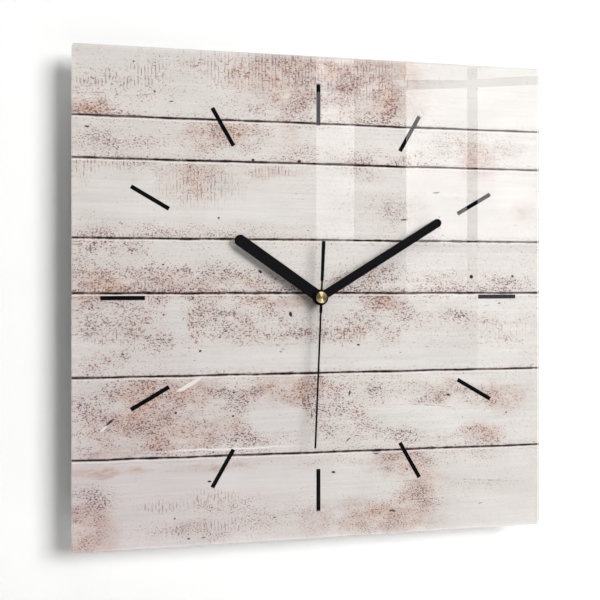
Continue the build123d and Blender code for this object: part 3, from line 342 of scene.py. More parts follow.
# Each oval is across, up, half length, half height, tilt in degrees and strength.
SPECKLED = [
    (-60, 140, 60, 8, 0, 0.5), (-15, 140, 75, 22, 0, 0.7), (-40, 117, 40, 9, 0, 0.6),
    (-135, 113, 26, 8, 0, 0.9), (-8, 122, 22, 22, 0, 0.7), (-128, 126, 50, 12, 0, 0.55),
    (-62, 98, 42, 13, 0, 0.95), (-125, 94, 36, 13, 0, 0.8), (-10, 90, 26, 7, 0, 0.7),
    (-105, 79, 40, 6, 0, 0.9), (-75, 68, 38, 18, 0, 0.75), (-113, 70, 8, 9, 0, 0.8),
    (-143, 70, 18, 16, 0, 0.7), (-110, 40, 60, 7, 0, 0.75), (-45, 42, 30, 9, 0, 0.6),
    (-140, 14, 24, 20, 0, 1.2), (-115, 8, 60, 13, 0, 1.1), (-65, 10, 55, 13, 0, 1.1),
    (-135, 33, 22, 6, 0, 0.8), (-30, 6, 30, 10, 0, 0.9), (-112, 27, 22, 10, 20, 0.6),
    (-120, -12, 50, 17, 0, 1.15), (-60, -8, 42, 18, 0, 1.2), (-75, -25, 60, 12, 0, 1.0),
    (-30, -20, 40, 16, 0, 0.8), (-120, -36, 40, 10, 0, 0.45), (-142, -42, 22, 8, 0, 0.5),
    (-105, -60, 45, 14, 0, 1.2), (-95, -78, 62, 17, 0, 1.35), (-45, -62, 62, 14, 0, 1.0),
    (-60, -88, 60, 8, 0, 0.9), (-140, -66, 18, 14, 0, 0.6), (-140, -85, 26, 10, 0, 0.8),
    (-142, -118, 24, 10, 0, 0.8), (-145, -135, 22, 24, 0, 1.2), (-65, -126, 42, 9, 0, 0.8),
    (-72, -142, 60, 9, 0, 0.85), (-30, -134, 40, 9, 0, 0.5), (-55, -104, 40, 5, 0, 0.45),
    (20, 130, 40, 24, 0, 0.6), (40, 120, 30, 18, 0, 0.8), (50, 88, 46, 8, 0, 0.8),
    (105, 97, 40, 12, 0, 0.7), (30, 80, 26, 8, 0, 0.75), (45, 55, 34, 16, 0, 0.6),
    (35, 10, 40, 14, 0, 1.15), (85, 8, 60, 12, 0, 0.75), (128, 8, 30, 8, 0, 0.6),
    (46, -4, 28, 6, 0, 1.0), (40, -14, 45, 10, 0, 0.85), (45, -22, 12, 10, 0, 1.0),
    (15, -24, 34, 8, 0, 0.75), (95, -14, 60, 9, 0, 0.65), (120, -28, 36, 6, 0, 0.4),
    (10, -62, 34, 18, 0, 1.15), (18, -80, 32, 14, 0, 1.1), (60, -60, 50, 12, 0, 0.75),
    (85, -64, 30, 12, 0, 0.9), (120, -66, 26, 12, 0, 0.85), (55, -87, 22, 7, 0, 0.9),
    (108, -88, 22, 10, 0, 0.95), (85, -92, 50, 6, 0, 0.6), (55, -107, 26, 12, 0, 1.1),
    (62, -132, 34, 20, 0, 1.1), (25, -140, 50, 14, 0, 0.9), (12, -104, 34, 5, 0, 0.6),
    (100, -122, 40, 6, 0, 0.4), (95, -104, 40, 8, 0, 0.5),
]
SAW_MARKED = [
    (-130, 129, 26, 5, 0, 1.3), (-103, 135, 14, 9, 0, 0.9), (-35, 140, 58, 14, 0, 1.0),
    (28, 136, 42, 17, 0, 1.1), (-143, 78, 12, 7, 0, 1.4), (-122, 80, 18, 4, 0, 1.1),
    (-30, 78, 20, 5, 0, 1.5), (-75, 66, 34, 16, 0, 0.7), (-125, -23, 22, 6, 0, 0.9),
    (-98, -125, 16, 5, 0, 1.2), (-68, -122, 22, 6, 0, 1.0), (-60, -139, 22, 5, 0, 1.3),
    (-115, 4, 34, 9, 0, 1.1), (15, -22, 26, 6, 0, 0.7), (125, -20, 30, 8, 0, 0.5),
]
STAINED = [
    (-138, 114, 16, 7, 0, 0.9), (5, 136, 70, 26, 0, 0.7), (48, 132, 28, 24, 0, 0.9),
    (-62, 99, 36, 10, 0, 0.6), (-18, 120, 12, 30, 0, 0.6), (-30, 78, 22, 6, 0, 0.9),
    (-75, 70, 30, 16, 0, 0.35), (-85, 7, 60, 9, 0, 0.9), (-140, 6, 20, 14, 0, 0.7),
    (-95, -58, 40, 12, -4, 1.3), (-95, -78, 50, 18, 0, 1.4), (-22, -58, 40, 12, 0, 0.9),
    (-140, -140, 22, 24, 0, 1.0), (-130, -93, 26, 3, 0, 1.0), (-130, -104, 40, 3, 0, 0.9),
    (-65, -103, 30, 3, 0, 0.6), (45, -2, 16, 8, 0, 0.9), (85, -61, 24, 12, 0, 0.7),
    (120, -66, 26, 14, 0, 0.6), (109, -88, 20, 10, 0, 0.6), (53, -106, 22, 12, 0, 1.2),
    (68, -124, 22, 14, -30, 0.9), (55, -142, 30, 12, 0, 1.0), (18, -138, 34, 14, 0, 0.6),
    (106, 86, 16, 16, 0, 0.5), (-20, -2, 30, 5, 0, 0.7), (140, 55, 14, 10, 0, 0.3),
]
SCRUBBED_CLEAN = [
    (-88, -12, 11, 22, 0, 2.0), (-30, -73, 22, 11, 0, 2.2), (-45, -34, 60, 12, 0, 0.9),
    (-120, 64, 34, 22, 0, 1.2), (-45, 55, 60, 12, 0, 0.8), (60, -40, 80, 10, 0, 0.5),
    (75, -76, 60, 9, 0, 1.0), (-40, -112, 60, 10, 0, 0.6), (125, 125, 50, 30, 0, 0.4),
]
NAILS_AND_KNOTS = [
    (-12, 84.7, 1.9, 1.4, 0, 3), (-41.5, 84.9, 1.5, 1.1, 0, 3), (102.2, 13.3, 1.9, 1.8, 0, 3),
    (131, 13.4, 1.6, 1.7, 0, 2.2), (38, -98, 4.4, 1.9, 0, 3), (86.2, -63.5, 2.4, 1.0, 20, 3),
    (20, -60.4, 1.1, 3.0, 10, 2.2), (26, -30, 1.9, 0.9, 10, 2.6), (78.5, 67, 3.6, 0.6, 0, 2.6),
    (56.5, 49.5, 3.6, 0.7, 0, 2.8), (49, -136.4, 3.4, 1.1, 12, 2.8), (9.5, -110, 1.9, 0.9, 0, 3),
    (58.5, -110, 2.0, 0.8, 25, 2), (122, -4, 2.4, 0.7, -15, 2), (72, -32, 0.8, 0.8, 0, 2),
    (-91.7, 118.4, 2.2, 0.5, -5, 3), (-141, 101.2, 2.4, 0.7, 10, 3), (-101.5, 124, 0.9, 0.9, 0, 3),
    (-113.5, 141.5, 0.8, 0.8, 0, 3), (-96, 20, 1.2, 0.8, 0, 2.4), (-17.5, -10, 1.6, 2.6, -20, 2.8),
    (-74, -32.8, 1.3, 1.0, -30, 3), (-120.5, -33.5, 1.8, 0.8, 0, 2.4), (-89, -69, 1.2, 1.0, 0, 2.6),
    (-53.6, -58, 1.6, 1.0, 10, 2.2), (-128, -74, 5.0, 1.0, -40, 2.6),
    (-68.5, -111.8, 1.9, 0.9, 0, 3),
    (-89.5, -133.3, 1.3, 0.9, 0, 2.4), (-28, -135.8, 1.7, 0.9, 0, 2), (-54, -72.5, 1.5, 1.2, 0, 2),
    (-81, -146, 1.6, 0.8, 0, 2.6), (-72, -145.3, 1.8, 0.6, 0, 2.6), (109, -134, 2.4, 0.5, -5, 2),
    (127, -75.5, 1.0, 1.4, 30, 2), (19, -89.5, 3.4, 0.5, -45, 2.2), (-62.5, 49, 1.2, 1.2, 0, 2.2),
    (-37, 16.3, 2.6, 1.4, 30, 2.2), (-96, -10, 0.9, 0.9, 0, 2.6), (-75, -100.4, 0.8, 0.8, 0, 1),
]
GRAIN_CRACKS = [
    (-131, 121.8, 16, 0.45, 0, 1.3), (-104, 122.2, 9, 0.4, 0, 1.3), (75, -70, 26, 0.45, 5, 1.5),
    (112, -119.3, 30, 0.5, 4, 1.9), (58, -117.5, 18, 0.35, 2, 1.4), (25, -128, 26, 0.35, 3, 1.1),
    (95, -129, 20, 0.35, 5, 1.1), (-128, -70.6, 22, 0.35, 0, 1.2), (40, -12, 34, 0.4, 3, 1.2),
    (-20, -29, 26, 0.4, 0, 1.0), (40, 124.8, 26, 0.5, 0, 1.3),
]
PALE_SCRATCHES = [
    (-80.5, -52.5, 11.5, 1.5, -28, 2.0), (-131, -77, 4.5, 0.8, -40, 1.6),
    (-55, -92.3, 90, 1.4, 0, 0.9),
    (-122, -96.2, 26, 0.7, 0, 1.4), (69, -48.0, 8, 0.9, 0, 1.4),
]

# %% Helpers for the print
def ovals(tree, place, spots):
    """Adds up soft-edged ovals that lie on the dial."""
    total = 0.0
    for across, up, length, height, tilt, strength in spots:
        inside = add(tree, "Mapping", {
            "Vector": place, "Location": (across, 0, up),
            "Rotation": (0, math.radians(tilt), 0), "Scale": (length, 1, height),
        }, vector_type="TEXTURE")
        fall = add(tree, "TexGradient", {"Vector": inside}, output="Fac", gradient_type="SPHERICAL")
        total = add(tree, "Math", {0: fall, 1: strength, 2: total}, operation="MULTIPLY_ADD")
    return total


def noise(tree, place, size, stretch=(1, 1, 1), detail=2.0, roughness=0.5):
    """Cloudy noise whose blots are about so many millimetres across, pulled out by a stretch."""
    scale = [1 / (size * s) for s in stretch]
    moved = add(tree, "Mapping", {"Vector": place, "Scale": scale})
    return add(tree, "TexNoise", {
        "Vector": moved, "Scale": 1.0, "Detail": detail, "Roughness": roughness})


def step(tree, value, low, high):
    """0 below one value, 1 above another and smooth between them."""
    return add(tree, "MapRange", {"Value": value, "From Min": low, "From Max": high},
               interpolation_type="SMOOTHSTEP")


def tint(tree, share, under, over):
    """One colour laid over another."""
    return add(tree, "Mix", {"Factor": share, 6: under, 7: over}, output=2, data_type="RGBA")


# %% Printed planks
# lengths are in millimetres; a share says how strongly one colour covers another
EDGE_WANDER = 1.2              # how far a plank's edge strays, from lowest to highest
# the pale line under each joint is a painted highlight of a lit plank edge: how far below the joint
# it lies and half its width
HIGHLIGHT_BELOW, HIGHLIGHT_HALF = 1.35, 0.45
GRAIN_ACROSS, GRAIN_BACK = 53.0, 17.0   # how far the noise moves on from plank to plank
OVAL_BEND = (22, 0, 10)        # how far the large ovals are bent out of shape
MARK_BEND = (3, 0, 3)          # and the single marks
WEAR_GAIN, WEAR_FLOOR = 1.3, 0.26
JOINT_WEAR, JOINT_REACH = 0.45, 4.5     # extra wear beside a joint, and how far it goes
LILAC_SHARE = 0.75
STAIN_GAIN = 2.3
RUBBED_SHARE = 0.36
SPECK_SIZE, SPECK_BLUR = 0.86, 0.05
NICK_SIZE, NICK_SHARE = 1.5, 0.8
SAW_PITCH, SAW_SWING = 2.1, 3.2
SAW_GAIN, SAW_SHARE = 1.8, 0.75
CRACK_SHARE = 0.7
# how strongly the painted highlight under each joint covers the paint
HIGHLIGHT_SHARE = 0.7
GAP_NARROW, GAP_WIDE = 0.08, 0.7        # half the black gap between two planks
BROWN_REACH, BROWN_SHARE = 0.75, 0.7    # the brown sides of the gap


def printed_planks():
    """UV-cured ink on glass: flat colour, slightly satin, no relief."""
    material = blank("printed_whitewashed_planks")
    tree = material.node_tree
    object_place = add(tree, "TexCoord", output="Object")
    dial = add(tree, "Mapping", {
        "Vector": object_place, "Location": (0, 0, -DIAL.z / MM), "Scale": (1 / MM, 0, 1 / MM)})
    across = add(tree, "SeparateXYZ", {0: dial}, output="X")
    up = add(tree, "SeparateXYZ", {0: dial}, output="Z")

    # the edges of the planks wander a little along their length
    wander = noise(tree, dial, 34, (1, 1, 12), detail=3)
    height = add(tree, "Math", {0: wander, 1: EDGE_WANDER, 2: up}, operation="MULTIPLY_ADD")
    height = add(tree, "Math", {0: height, 1: EDGE_WANDER / 2}, operation="SUBTRACT")
    nearest, number, painted_highlight_lip = 99.0, 0.0, 0.0
    for middle, fall in PLANK_JOINTS:
        line = add(tree, "Math", {0: across, 1: -fall, 2: middle}, operation="MULTIPLY_ADD")
        apart = add(tree, "Math", {0: height, 1: line}, operation="SUBTRACT")
        size = add(tree, "Math", {0: apart}, operation="ABSOLUTE")
        nearest = add(tree, "Math", {0: size, 1: nearest}, operation="MINIMUM")
        above = add(tree, "Math", {0: apart, 1: 0.0}, operation="GREATER_THAN")
        number = add(tree, "Math", {0: above, 1: number}, operation="ADD")
        # painted highlight: marks the pale line just below each joint
        below = add(tree, "Math", {0: apart, 1: -HIGHLIGHT_BELOW, 2: HIGHLIGHT_HALF}, operation="COMPARE")
        painted_highlight_lip = add(tree, "Math", {0: below, 1: painted_highlight_lip}, operation="MAXIMUM")

    # each plank has grain of its own, so the noise is moved on from one to the next
    shift = add(tree, "CombineXYZ", {
        "X": add(tree, "Math", {0: number, 1: GRAIN_ACROSS}, operation="MULTIPLY"),
        "Y": add(tree, "Math", {0: number, 1: GRAIN_BACK}, operation="MULTIPLY"),
    })
    wood = add(tree, "VectorMath", {0: dial, 1: shift}, operation="ADD")

    # the ovals are bent out of shape before they are used
    bend = add(tree, "TexNoise", {"Vector": dial, "Scale": 0.055, "Detail": 2.0}, output="Color")
    bend = add(tree, "VectorMath", {0: bend, 1: (0.5, 0.5, 0.5)}, operation="SUBTRACT")
    bent = add(tree, "VectorMath", {0: bend, 1: OVAL_BEND, 2: dial}, operation="MULTIPLY_ADD")

    cloud = noise(tree, wood, 13, (1.6, 1, 1), detail=5, roughness=0.68)
    clear = ovals(tree, bent, SCRUBBED_CLEAN)
    worn = add(tree, "Math", {0: ovals(tree, bent, SPECKLED), 1: WEAR_GAIN, 2: WEAR_FLOOR},
               operation="MULTIPLY_ADD")
    worn = add(tree, "Math", {0: worn, 1: clear}, operation="SUBTRACT", use_clamp=True)
    patchy = step(tree, cloud, 0.2, 0.66)
    worn = add(tree, "Math", {0: worn, 1: patchy}, operation="MULTIPLY")
    edge = add(tree, "MapRange", {"Value": nearest, "From Min": 0.0,
                                  "From Max": JOINT_REACH, "To Min": JOINT_WEAR,
                                  "To Max": 0.0})
    worn = add(tree, "Math", {0: edge, 1: worn}, operation="ADD", use_clamp=True)

    # paint: a warm white with brush streaks, more lilac low on the left
    side = add(tree, "MapRange", {"Value": across, "From Min": -150.0, "From Max": 60.0})
    low = add(tree, "MapRange", {"Value": up, "From Min": 40.0, "From Max": -120.0})
    leftness = add(tree, "Math", {0: 1.0, 1: side}, operation="SUBTRACT")
    lilac = add(tree, "Math", {0: low, 1: leftness}, operation="MULTIPLY")
    paint = tint(tree, side, linear("#cbc6c5"), linear("#d0cccb"))
    lilac = add(tree, "Math", {0: lilac, 1: LILAC_SHARE}, operation="MULTIPLY")
    paint = tint(tree, lilac, paint, linear("#c6bdc1"))
    streaks = noise(tree, wood, 1.5, (34, 1, 1), detail=4, roughness=0.6)
    shade = add(tree, "MapRange", {"Value": streaks, "From Min": 0.3, "From Max": 0.7,
                                   "To Min": 0.93, "To Max": 1.05})
    blots = noise(tree, wood, 22, (1.5, 1, 1))
    uneven = add(tree, "MapRange", {"Value": blots, "From Min": 0.3, "From Max": 0.7,
                                    "To Min": 0.955, "To Max": 1.035})
    shade = add(tree, "Math", {0: shade, 1: uneven}, operation="MULTIPLY")
    paint = add(tree, "VectorMath", {0: paint, "Scale": shade}, operation="SCALE")

    # stains: thin brown glaze that lies in the grain
    grain = noise(tree, wood, 1.1, (5, 1, 1), detail=3, roughness=0.65)
    stain = ovals(tree, bent, STAINED)
    stain = add(tree, "Math", {0: stain, 1: STAIN_GAIN}, operation="MULTIPLY", use_clamp=True)
    stain = add(tree, "Math", {0: stain, 1: step(tree, cloud, 0.3, 0.6)}, operation="MULTIPLY")
    in_grain = add(tree, "MapRange", {"Value": grain, "From Min": 0.35, "From Max": 0.65,
                                      "To Min": 0.2, "To Max": 0.72})
    stain = add(tree, "Math", {0: stain, 1: in_grain}, operation="MULTIPLY")
    warm = noise(tree, wood, 18)
    glaze = tint(tree, step(tree, warm, 0.42, 0.58), linear("#a5827c"), linear("#b18771"))
    paint = tint(tree, stain, paint, glaze)

    # worn grain: fine specks where the paint has gone, closer together where it is more worn
    rubbed = add(tree, "Math", {0: worn, 1: RUBBED_SHARE}, operation="MULTIPLY")
    paint = tint(tree, rubbed, paint, linear("#bfaaa4"))
    specks = noise(tree, wood, SPECK_SIZE, (1.4, 1, 1), detail=3, roughness=0.75)
    sill = add(tree, "MapRange", {"Value": worn, "To Min": 0.64, "To Max": 0.5})
    top = add(tree, "Math", {0: sill, 1: SPECK_BLUR}, operation="ADD")
    speck = step(tree, specks, sill, top)
    depth = add(tree, "MapRange", {"Value": worn, "To Min": 0.7, "To Max": 0.92})
    speck = add(tree, "Math", {0: speck, 1: depth}, operation="MULTIPLY")
    bare = tint(tree, step(tree, warm, 0.42, 0.6), linear("#5c3f41"), linear("#78503f"))
    paint = tint(tree, speck, paint, bare)
    # a few larger nicks, wherever the paint has been knocked
    nick = noise(tree, wood, NICK_SIZE, (1.7, 1, 1), detail=3, roughness=0.6)
    nick = step(tree, nick, 0.69, 0.73)
    nick = add(tree, "Math", {0: nick, 1: NICK_SHARE}, operation="MULTIPLY")
    paint = tint(tree, nick, paint, linear("#50373a"))

    # saw marks: broken upright dashes, about 2 mm apart
    jitter = noise(tree, wood, 5, (1, 1, 2))
    swing = add(tree, "Math", {0: jitter, 1: SAW_SWING}, operation="MULTIPLY")
    swing = add(tree, "Math", {0: across, 1: 2 * math.pi / SAW_PITCH, 2: swing},
                operation="MULTIPLY_ADD")
    teeth = step(tree, add(tree, "Math", {0: swing}, operation="SINE"), 0.1, 0.9)
    broken = step(tree, noise(tree, wood, 1.6, (0.8, 1, 2.2), detail=2), 0.42, 0.6)
    sawn = add(tree, "Math", {0: ovals(tree, bent, SAW_MARKED), 1: SAW_GAIN},
               operation="MULTIPLY", use_clamp=True)
    sawn = add(tree, "Math", {0: sawn, 1: teeth}, operation="MULTIPLY")
    sawn = add(tree, "Math", {0: sawn, 1: broken}, operation="MULTIPLY")
    sawn = add(tree, "Math", {0: sawn, 1: SAW_SHARE}, operation="MULTIPLY")
    cut = tint(tree, step(tree, warm, 0.4, 0.6), linear("#7d5f60"), linear("#967058"))
    paint = tint(tree, sawn, paint, cut)

    # single marks: nails, knots, cracks along the grain and pale scratches
    ragged = add(tree, "VectorMath", {0: bend, 1: MARK_BEND, 2: dial}, operation="MULTIPLY_ADD")
    scratch = step(tree, ovals(tree, ragged, PALE_SCRATCHES), 0.25, 0.7)
    paint = tint(tree, scratch, paint, linear("#dbd5d5"))
    crack = step(tree, ovals(tree, ragged, GRAIN_CRACKS), 0.3, 0.9)
    parted = step(tree, noise(tree, wood, 1.2, (2.5, 1, 1)), 0.42, 0.6)
    crack = add(tree, "Math", {0: crack, 1: parted}, operation="MULTIPLY")
    crack = add(tree, "Math", {0: crack, 1: CRACK_SHARE}, operation="MULTIPLY")
    paint = tint(tree, crack, paint, linear("#7d6763"))
    spots = step(tree, ovals(tree, ragged, NAILS_AND_KNOTS), 0.55, 1.5)
    paint = tint(tree, spots, paint, linear("#3a2a2b"))

    # the joints: a painted highlight as a pale line below each one, where a lit plank edge catches
    # the light, then brown sides and a black gap that varies in width
    painted_highlight_lip = add(tree, "Math", {0: painted_highlight_lip, 1: HIGHLIGHT_SHARE}, operation="MULTIPLY")
    paint = tint(tree, painted_highlight_lip, paint, linear("#dedad9"))
    gap_noise = noise(tree, dial, 11, (1, 1, 3), detail=4, roughness=0.65)
    half = add(tree, "MapRange", {"Value": gap_noise, "From Min": 0.3, "From Max": 0.7,
                                  "To Min": GAP_NARROW, "To Max": GAP_WIDE})
    brown = add(tree, "Math", {0: half, 1: BROWN_REACH}, operation="ADD")
    brown = step(tree, nearest, brown, half)
    brown = add(tree, "Math", {0: brown, 1: BROWN_SHARE}, operation="MULTIPLY")
    paint = tint(tree, brown, paint, linear("#5d4341"))
    gap = step(tree, nearest, add(tree, "Math", {0: half, 1: 0.22}, operation="ADD"),
               add(tree, "Math", {0: half, 1: 0.1}, operation="SUBTRACT"))
    # the gap is filled with paint here and there, so it is not black all along
    faded = noise(tree, dial, 26, (1, 1, 6), detail=3, roughness=0.7)
    faded = add(tree, "MapRange", {"Value": faded, "From Min": 0.36, "From Max": 0.5,
                                   "To Min": 0.55, "To Max": 1.0})
    gap = add(tree, "Math", {0: gap, 1: faded}, operation="MULTIPLY")
    paint = tint(tree, gap, paint, linear("#170f11"))
    gloss = add(tree, "MapRange", {"Value": streaks, "To Min": 0.5, "To Max": 0.62})
    return surface(material, Base_Color=paint, Roughness=gloss, IOR=1.5, Specular_IOR_Level=0.0)


# %% [markdown]
# ## Glass, ink and the hands
# Toughened glass is clear with a faint grey-green body, which shows most at its ground and
# polished edges. Its index is 1.52, so it mirrors about a twelfth of the light that meets
# it face on. The pane casts no shadow here, so that the lamps light the print behind it.

# %% Glass and inks
def toughened_glass():
    """Float glass, polished smooth; faint waviness from the toughening oven."""
    material = blank("toughened_float_glass")
    tree = material.node_tree
    place = place_in_mm(tree)
    # roller wave of the toughening oven, from crest to crest
    ROLLER_WAVE_MM = 60
    wave = noise(tree, place, ROLLER_WAVE_MM, detail=1)
    bump = add(tree, "Bump", {"Height": wave, "Strength": 0.02, "Distance": 0.05 * MM})
    return surface(material, Base_Color=linear("#fbfdfc"), Roughness=0.0, IOR=1.52,
                   Transmission_Weight=1.0, Normal=bump)


def ink(name, colour, other, roughness, shine=0.5):
    """Screen ink: an even film with slight mottle and a fine orange-peel skin."""
    material = blank(name)
    tree = material.node_tree
    place = place_in_mm(tree)
    mottle = noise(tree, place, 3, detail=4, roughness=0.6)
    peel = noise(tree, place, 0.35, detail=2)
    colour = tint(tree, mottle, linear(colour), linear(other))
    gloss = add(tree, "MapRange", {"Value": mottle, "To Min": roughness - 0.08,
                                   "To Max": roughness + 0.08})
    bump = add(tree, "Bump", {"Height": peel, "Strength": 0.25, "Distance": 0.02 * MM})
    return surface(material, Base_Color=colour, Roughness=gloss, IOR=1.5,
                   Specular_IOR_Level=shine, Normal=bump)


# %% [markdown]
# The plastics and metals of a movement differ in colour, gloss and in the marks that their
# making leaves. Moulded parts copy the fine spark-eroded skin of their mould, drawn metal
# is streaked along its length, plated steel is cloudy and turned parts carry rings. One
# function each keeps these apart, and a finish is then one line.

# %% Moulded plastics and rubber
def moulded(name, colour, other, roughness, skin_mm=0.25, depth_mm=0.015, ior=1.5, **more):
    """Moulded plastic with the fine skin of its mould, cloudy flow marks and rubbed spots."""
    material = blank(name)
    tree = material.node_tree
    place = place_in_mm(tree)
    flow = noise(tree, place, 9, detail=4, roughness=0.6)
    skin = noise(tree, place, skin_mm, detail=2, roughness=0.6)
    rubbed = step(tree, noise(tree, place, 4, detail=5, roughness=0.7), 0.55, 0.7)
    colour = tint(tree, flow, linear(colour), linear(other))
    gloss = add(tree, "MapRange", {"Value": rubbed, "To Min": roughness + 0.04,
                                   "To Max": roughness - 0.1})
    bump = add(tree, "Bump", {"Height": skin, "Strength": 0.6, "Distance": depth_mm * MM})
    return surface(material, Base_Color=colour, Roughness=gloss, IOR=ior, Normal=bump, **more)


# %% Metals
def metal(name, colour, other, roughness, grain_mm=0.12, stretch=(1, 1, 1), depth_mm=0.004,
          cloud_mm=2.5, **more):
    """Bare or plated metal: cloudy tone, and grain that runs the way it was worked."""
    material = blank(name)
    tree = material.node_tree
    place = place_in_mm(tree)
    cloud = noise(tree, place, cloud_mm, detail=4, roughness=0.6)
    grain = noise(tree, place, grain_mm, stretch, detail=3, roughness=0.6)
    colour = tint(tree, cloud, linear(colour), linear(other))
    gloss = add(tree, "MapRange", {"Value": cloud, "From Min": 0.3, "From Max": 0.7,
                                   "To Min": roughness - 0.06, "To Max": roughness + 0.08})
    bump = add(tree, "Bump", {"Height": grain, "Strength": 0.5, "Distance": depth_mm * MM})
    return surface(material, Base_Color=colour, Metallic=1.0, Roughness=gloss, Normal=bump, **more)


def turned_brass():
    """Brass faced on a lathe: rings round the centre stretch each highlight into a fan."""
    material = blank("lathe_turned_brass")
    tree = material.node_tree
    place = place_in_mm(tree)
    low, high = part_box("second_hand_cap")
    middle = (low + high) / 2
    from_axis = add(tree, "VectorMath", {0: place, 1: Vector((middle.x, 0, middle.z)) / MM},
                    operation="SUBTRACT")
    flat = add(tree, "VectorMath", {0: from_axis, 1: (1, 0, 1)}, operation="MULTIPLY")
    radius = add(tree, "VectorMath", {0: flat}, output="Value", operation="LENGTH")
    # real tool marks are about 0.05 mm apart; they are drawn at 0.35 mm so that they show
    RING_MM = 0.35
    rings = add(tree, "Math", {0: radius, 1: 2 * math.pi / RING_MM}, operation="MULTIPLY")
    rings = add(tree, "Math", {0: rings}, operation="SINE")
    cloud = noise(tree, place, 1.5, detail=3)
    colour = tint(tree, cloud, linear("#dccb9c"), linear("#c6b07e"))
    bump = add(tree, "Bump", {"Height": rings, "Strength": 0.35, "Distance": 0.01 * MM})
    tangent = add(tree, "Tangent", direction_type="RADIAL", axis="Y")
    return surface(material, Base_Color=colour, Metallic=1.0, Roughness=0.34, Anisotropic=0.95,
                   Anisotropic_Rotation=0.25, Normal=bump, Tangent=tangent)


def blackened_sheet(name, colour, other):
    """Thin black metal, anodised or lacquered: satin, faintly blue and finely pored."""
    material = blank(name)
    tree = material.node_tree
    place = place_in_mm(tree)
    cloud = noise(tree, place, 6, detail=4, roughness=0.6)
    pores = noise(tree, place, 0.3, detail=2)
    colour = tint(tree, cloud, linear(colour), linear(other))
    gloss = add(tree, "MapRange", {"Value": cloud, "To Min": 0.42, "To Max": 0.55})
    bump = add(tree, "Bump", {"Height": pores, "Strength": 0.3, "Distance": 0.01 * MM})
    return surface(material, Base_Color=colour, Roughness=gloss, IOR=1.55,
                   Specular_IOR_Level=0.08, Normal=bump)


# %% Circuit board, winding, magnet and cell wrap
def board_laminate():
    """Glass-epoxy laminate under green solder mask, with raised tracks and a faint weave."""
    material = blank("green_glass_epoxy_laminate")
    tree = material.node_tree
    place = place_in_mm(tree)
    weave_x = add(tree, "TexWave", {"Vector": place, "Scale": 0.9}, output="Fac",
                  bands_direction="X")
    weave_z = add(tree, "TexWave", {"Vector": place, "Scale": 0.9}, output="Fac",
                  bands_direction="Z")
    weave = add(tree, "Math", {0: weave_x, 1: weave_z}, operation="MULTIPLY")
    across = add(tree, "SeparateXYZ", {0: place}, output="X")
    # tracks: about 0.8 mm of copper under the mask in every pitch
    TRACK_PITCH_MM = 2.2
    lane = add(tree, "Math", {0: across, 1: 2 * math.pi / TRACK_PITCH_MM}, operation="MULTIPLY")
    lane = add(tree, "Math", {0: lane}, operation="SINE")
    track = step(tree, lane, 0.35, 0.5)
    mask = tint(tree, weave, linear("#1f5c38"), linear("#2a6c45"))
    mask = tint(tree, track, mask, linear("#3f8a55"))
    bump = add(tree, "Bump", {"Height": track, "Strength": 0.5, "Distance": 0.03 * MM})
    return surface(material, Base_Color=mask, Roughness=0.32, IOR=1.55, Coat_Weight=0.4,
                   Normal=bump)


def cell_wrap():
    """Printed film on an alkaline cell: a dark body, a thin line and a copper-coloured band."""
    material = blank("printed_polyester_cell_film")
    tree = material.node_tree
    place = place_in_mm(tree)
    low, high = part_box("battery_sleeve")
    across = add(tree, "SeparateXYZ", {0: place}, output="X")
    BAND_MM, BAND_BLUR_MM = 13.0, 0.15
    LINE_AWAY_MM, LINE_HALF_MM = 1.2, 0.3
    band_start = high.x / MM - BAND_MM
    band = step(tree, across, band_start - BAND_BLUR_MM, band_start + BAND_BLUR_MM)
    line = add(tree, "Math", {0: across, 1: band_start - LINE_AWAY_MM, 2: LINE_HALF_MM},
               operation="COMPARE")
    scuff = noise(tree, place, 1.4, (6, 1, 1), detail=4, roughness=0.7)
    body = tint(tree, scuff, linear("#23262b"), linear("#343840"))
    film = tint(tree, band, body, linear("#b87342"))
    film = tint(tree, line, film, linear("#d8d6d0"))
    gloss = add(tree, "MapRange", {"Value": scuff, "To Min": 0.18, "To Max": 0.4})
    bump = add(tree, "Bump", {"Height": scuff, "Strength": 0.2, "Distance": 0.02 * MM})
    return surface(material, Base_Color=film, Roughness=gloss, IOR=1.57, Coat_Weight=0.5,
                   Normal=bump)


# %% Which node is made of what
black_abs = moulded("black_moulded_abs", "#17181a", "#1f2022", 0.5)
acetal = moulded("natural_acetal", "#e9e6da", "#dedaca", 0.35, 0.4, 0.006, ior=1.48)
nylon = moulded("white_moulded_nylon", "#eceae2", "#dfdcd2", 0.4, ior=1.53)
rubber = moulded("grey_silicone_rubber", "#5d5f61", "#6b6d6f", 0.75, 0.4, 0.03, ior=1.43)
zinc = metal("zinc_plated_steel", "#c9ccd0", "#a9aeb6", 0.34, 0.15, (8, 1, 1), cloud_mm=1.8)
spring_strip = metal("nickel_plated_spring_steel", "#cfc9bd", "#bcb5a7", 0.24, 0.1, (1, 1, 8))
silicon_steel = metal("silicon_steel_sheet", "#9a9b9d", "#7f8184", 0.42, 0.15, (1, 1, 6))
polished = metal("polished_steel", "#d4d5d7", "#c2c4c7", 0.16, 0.1, (1, 10, 1))
brass = turned_brass()
anodised = blackened_sheet("black_anodised_aluminium", "#060609", "#0b0b10")
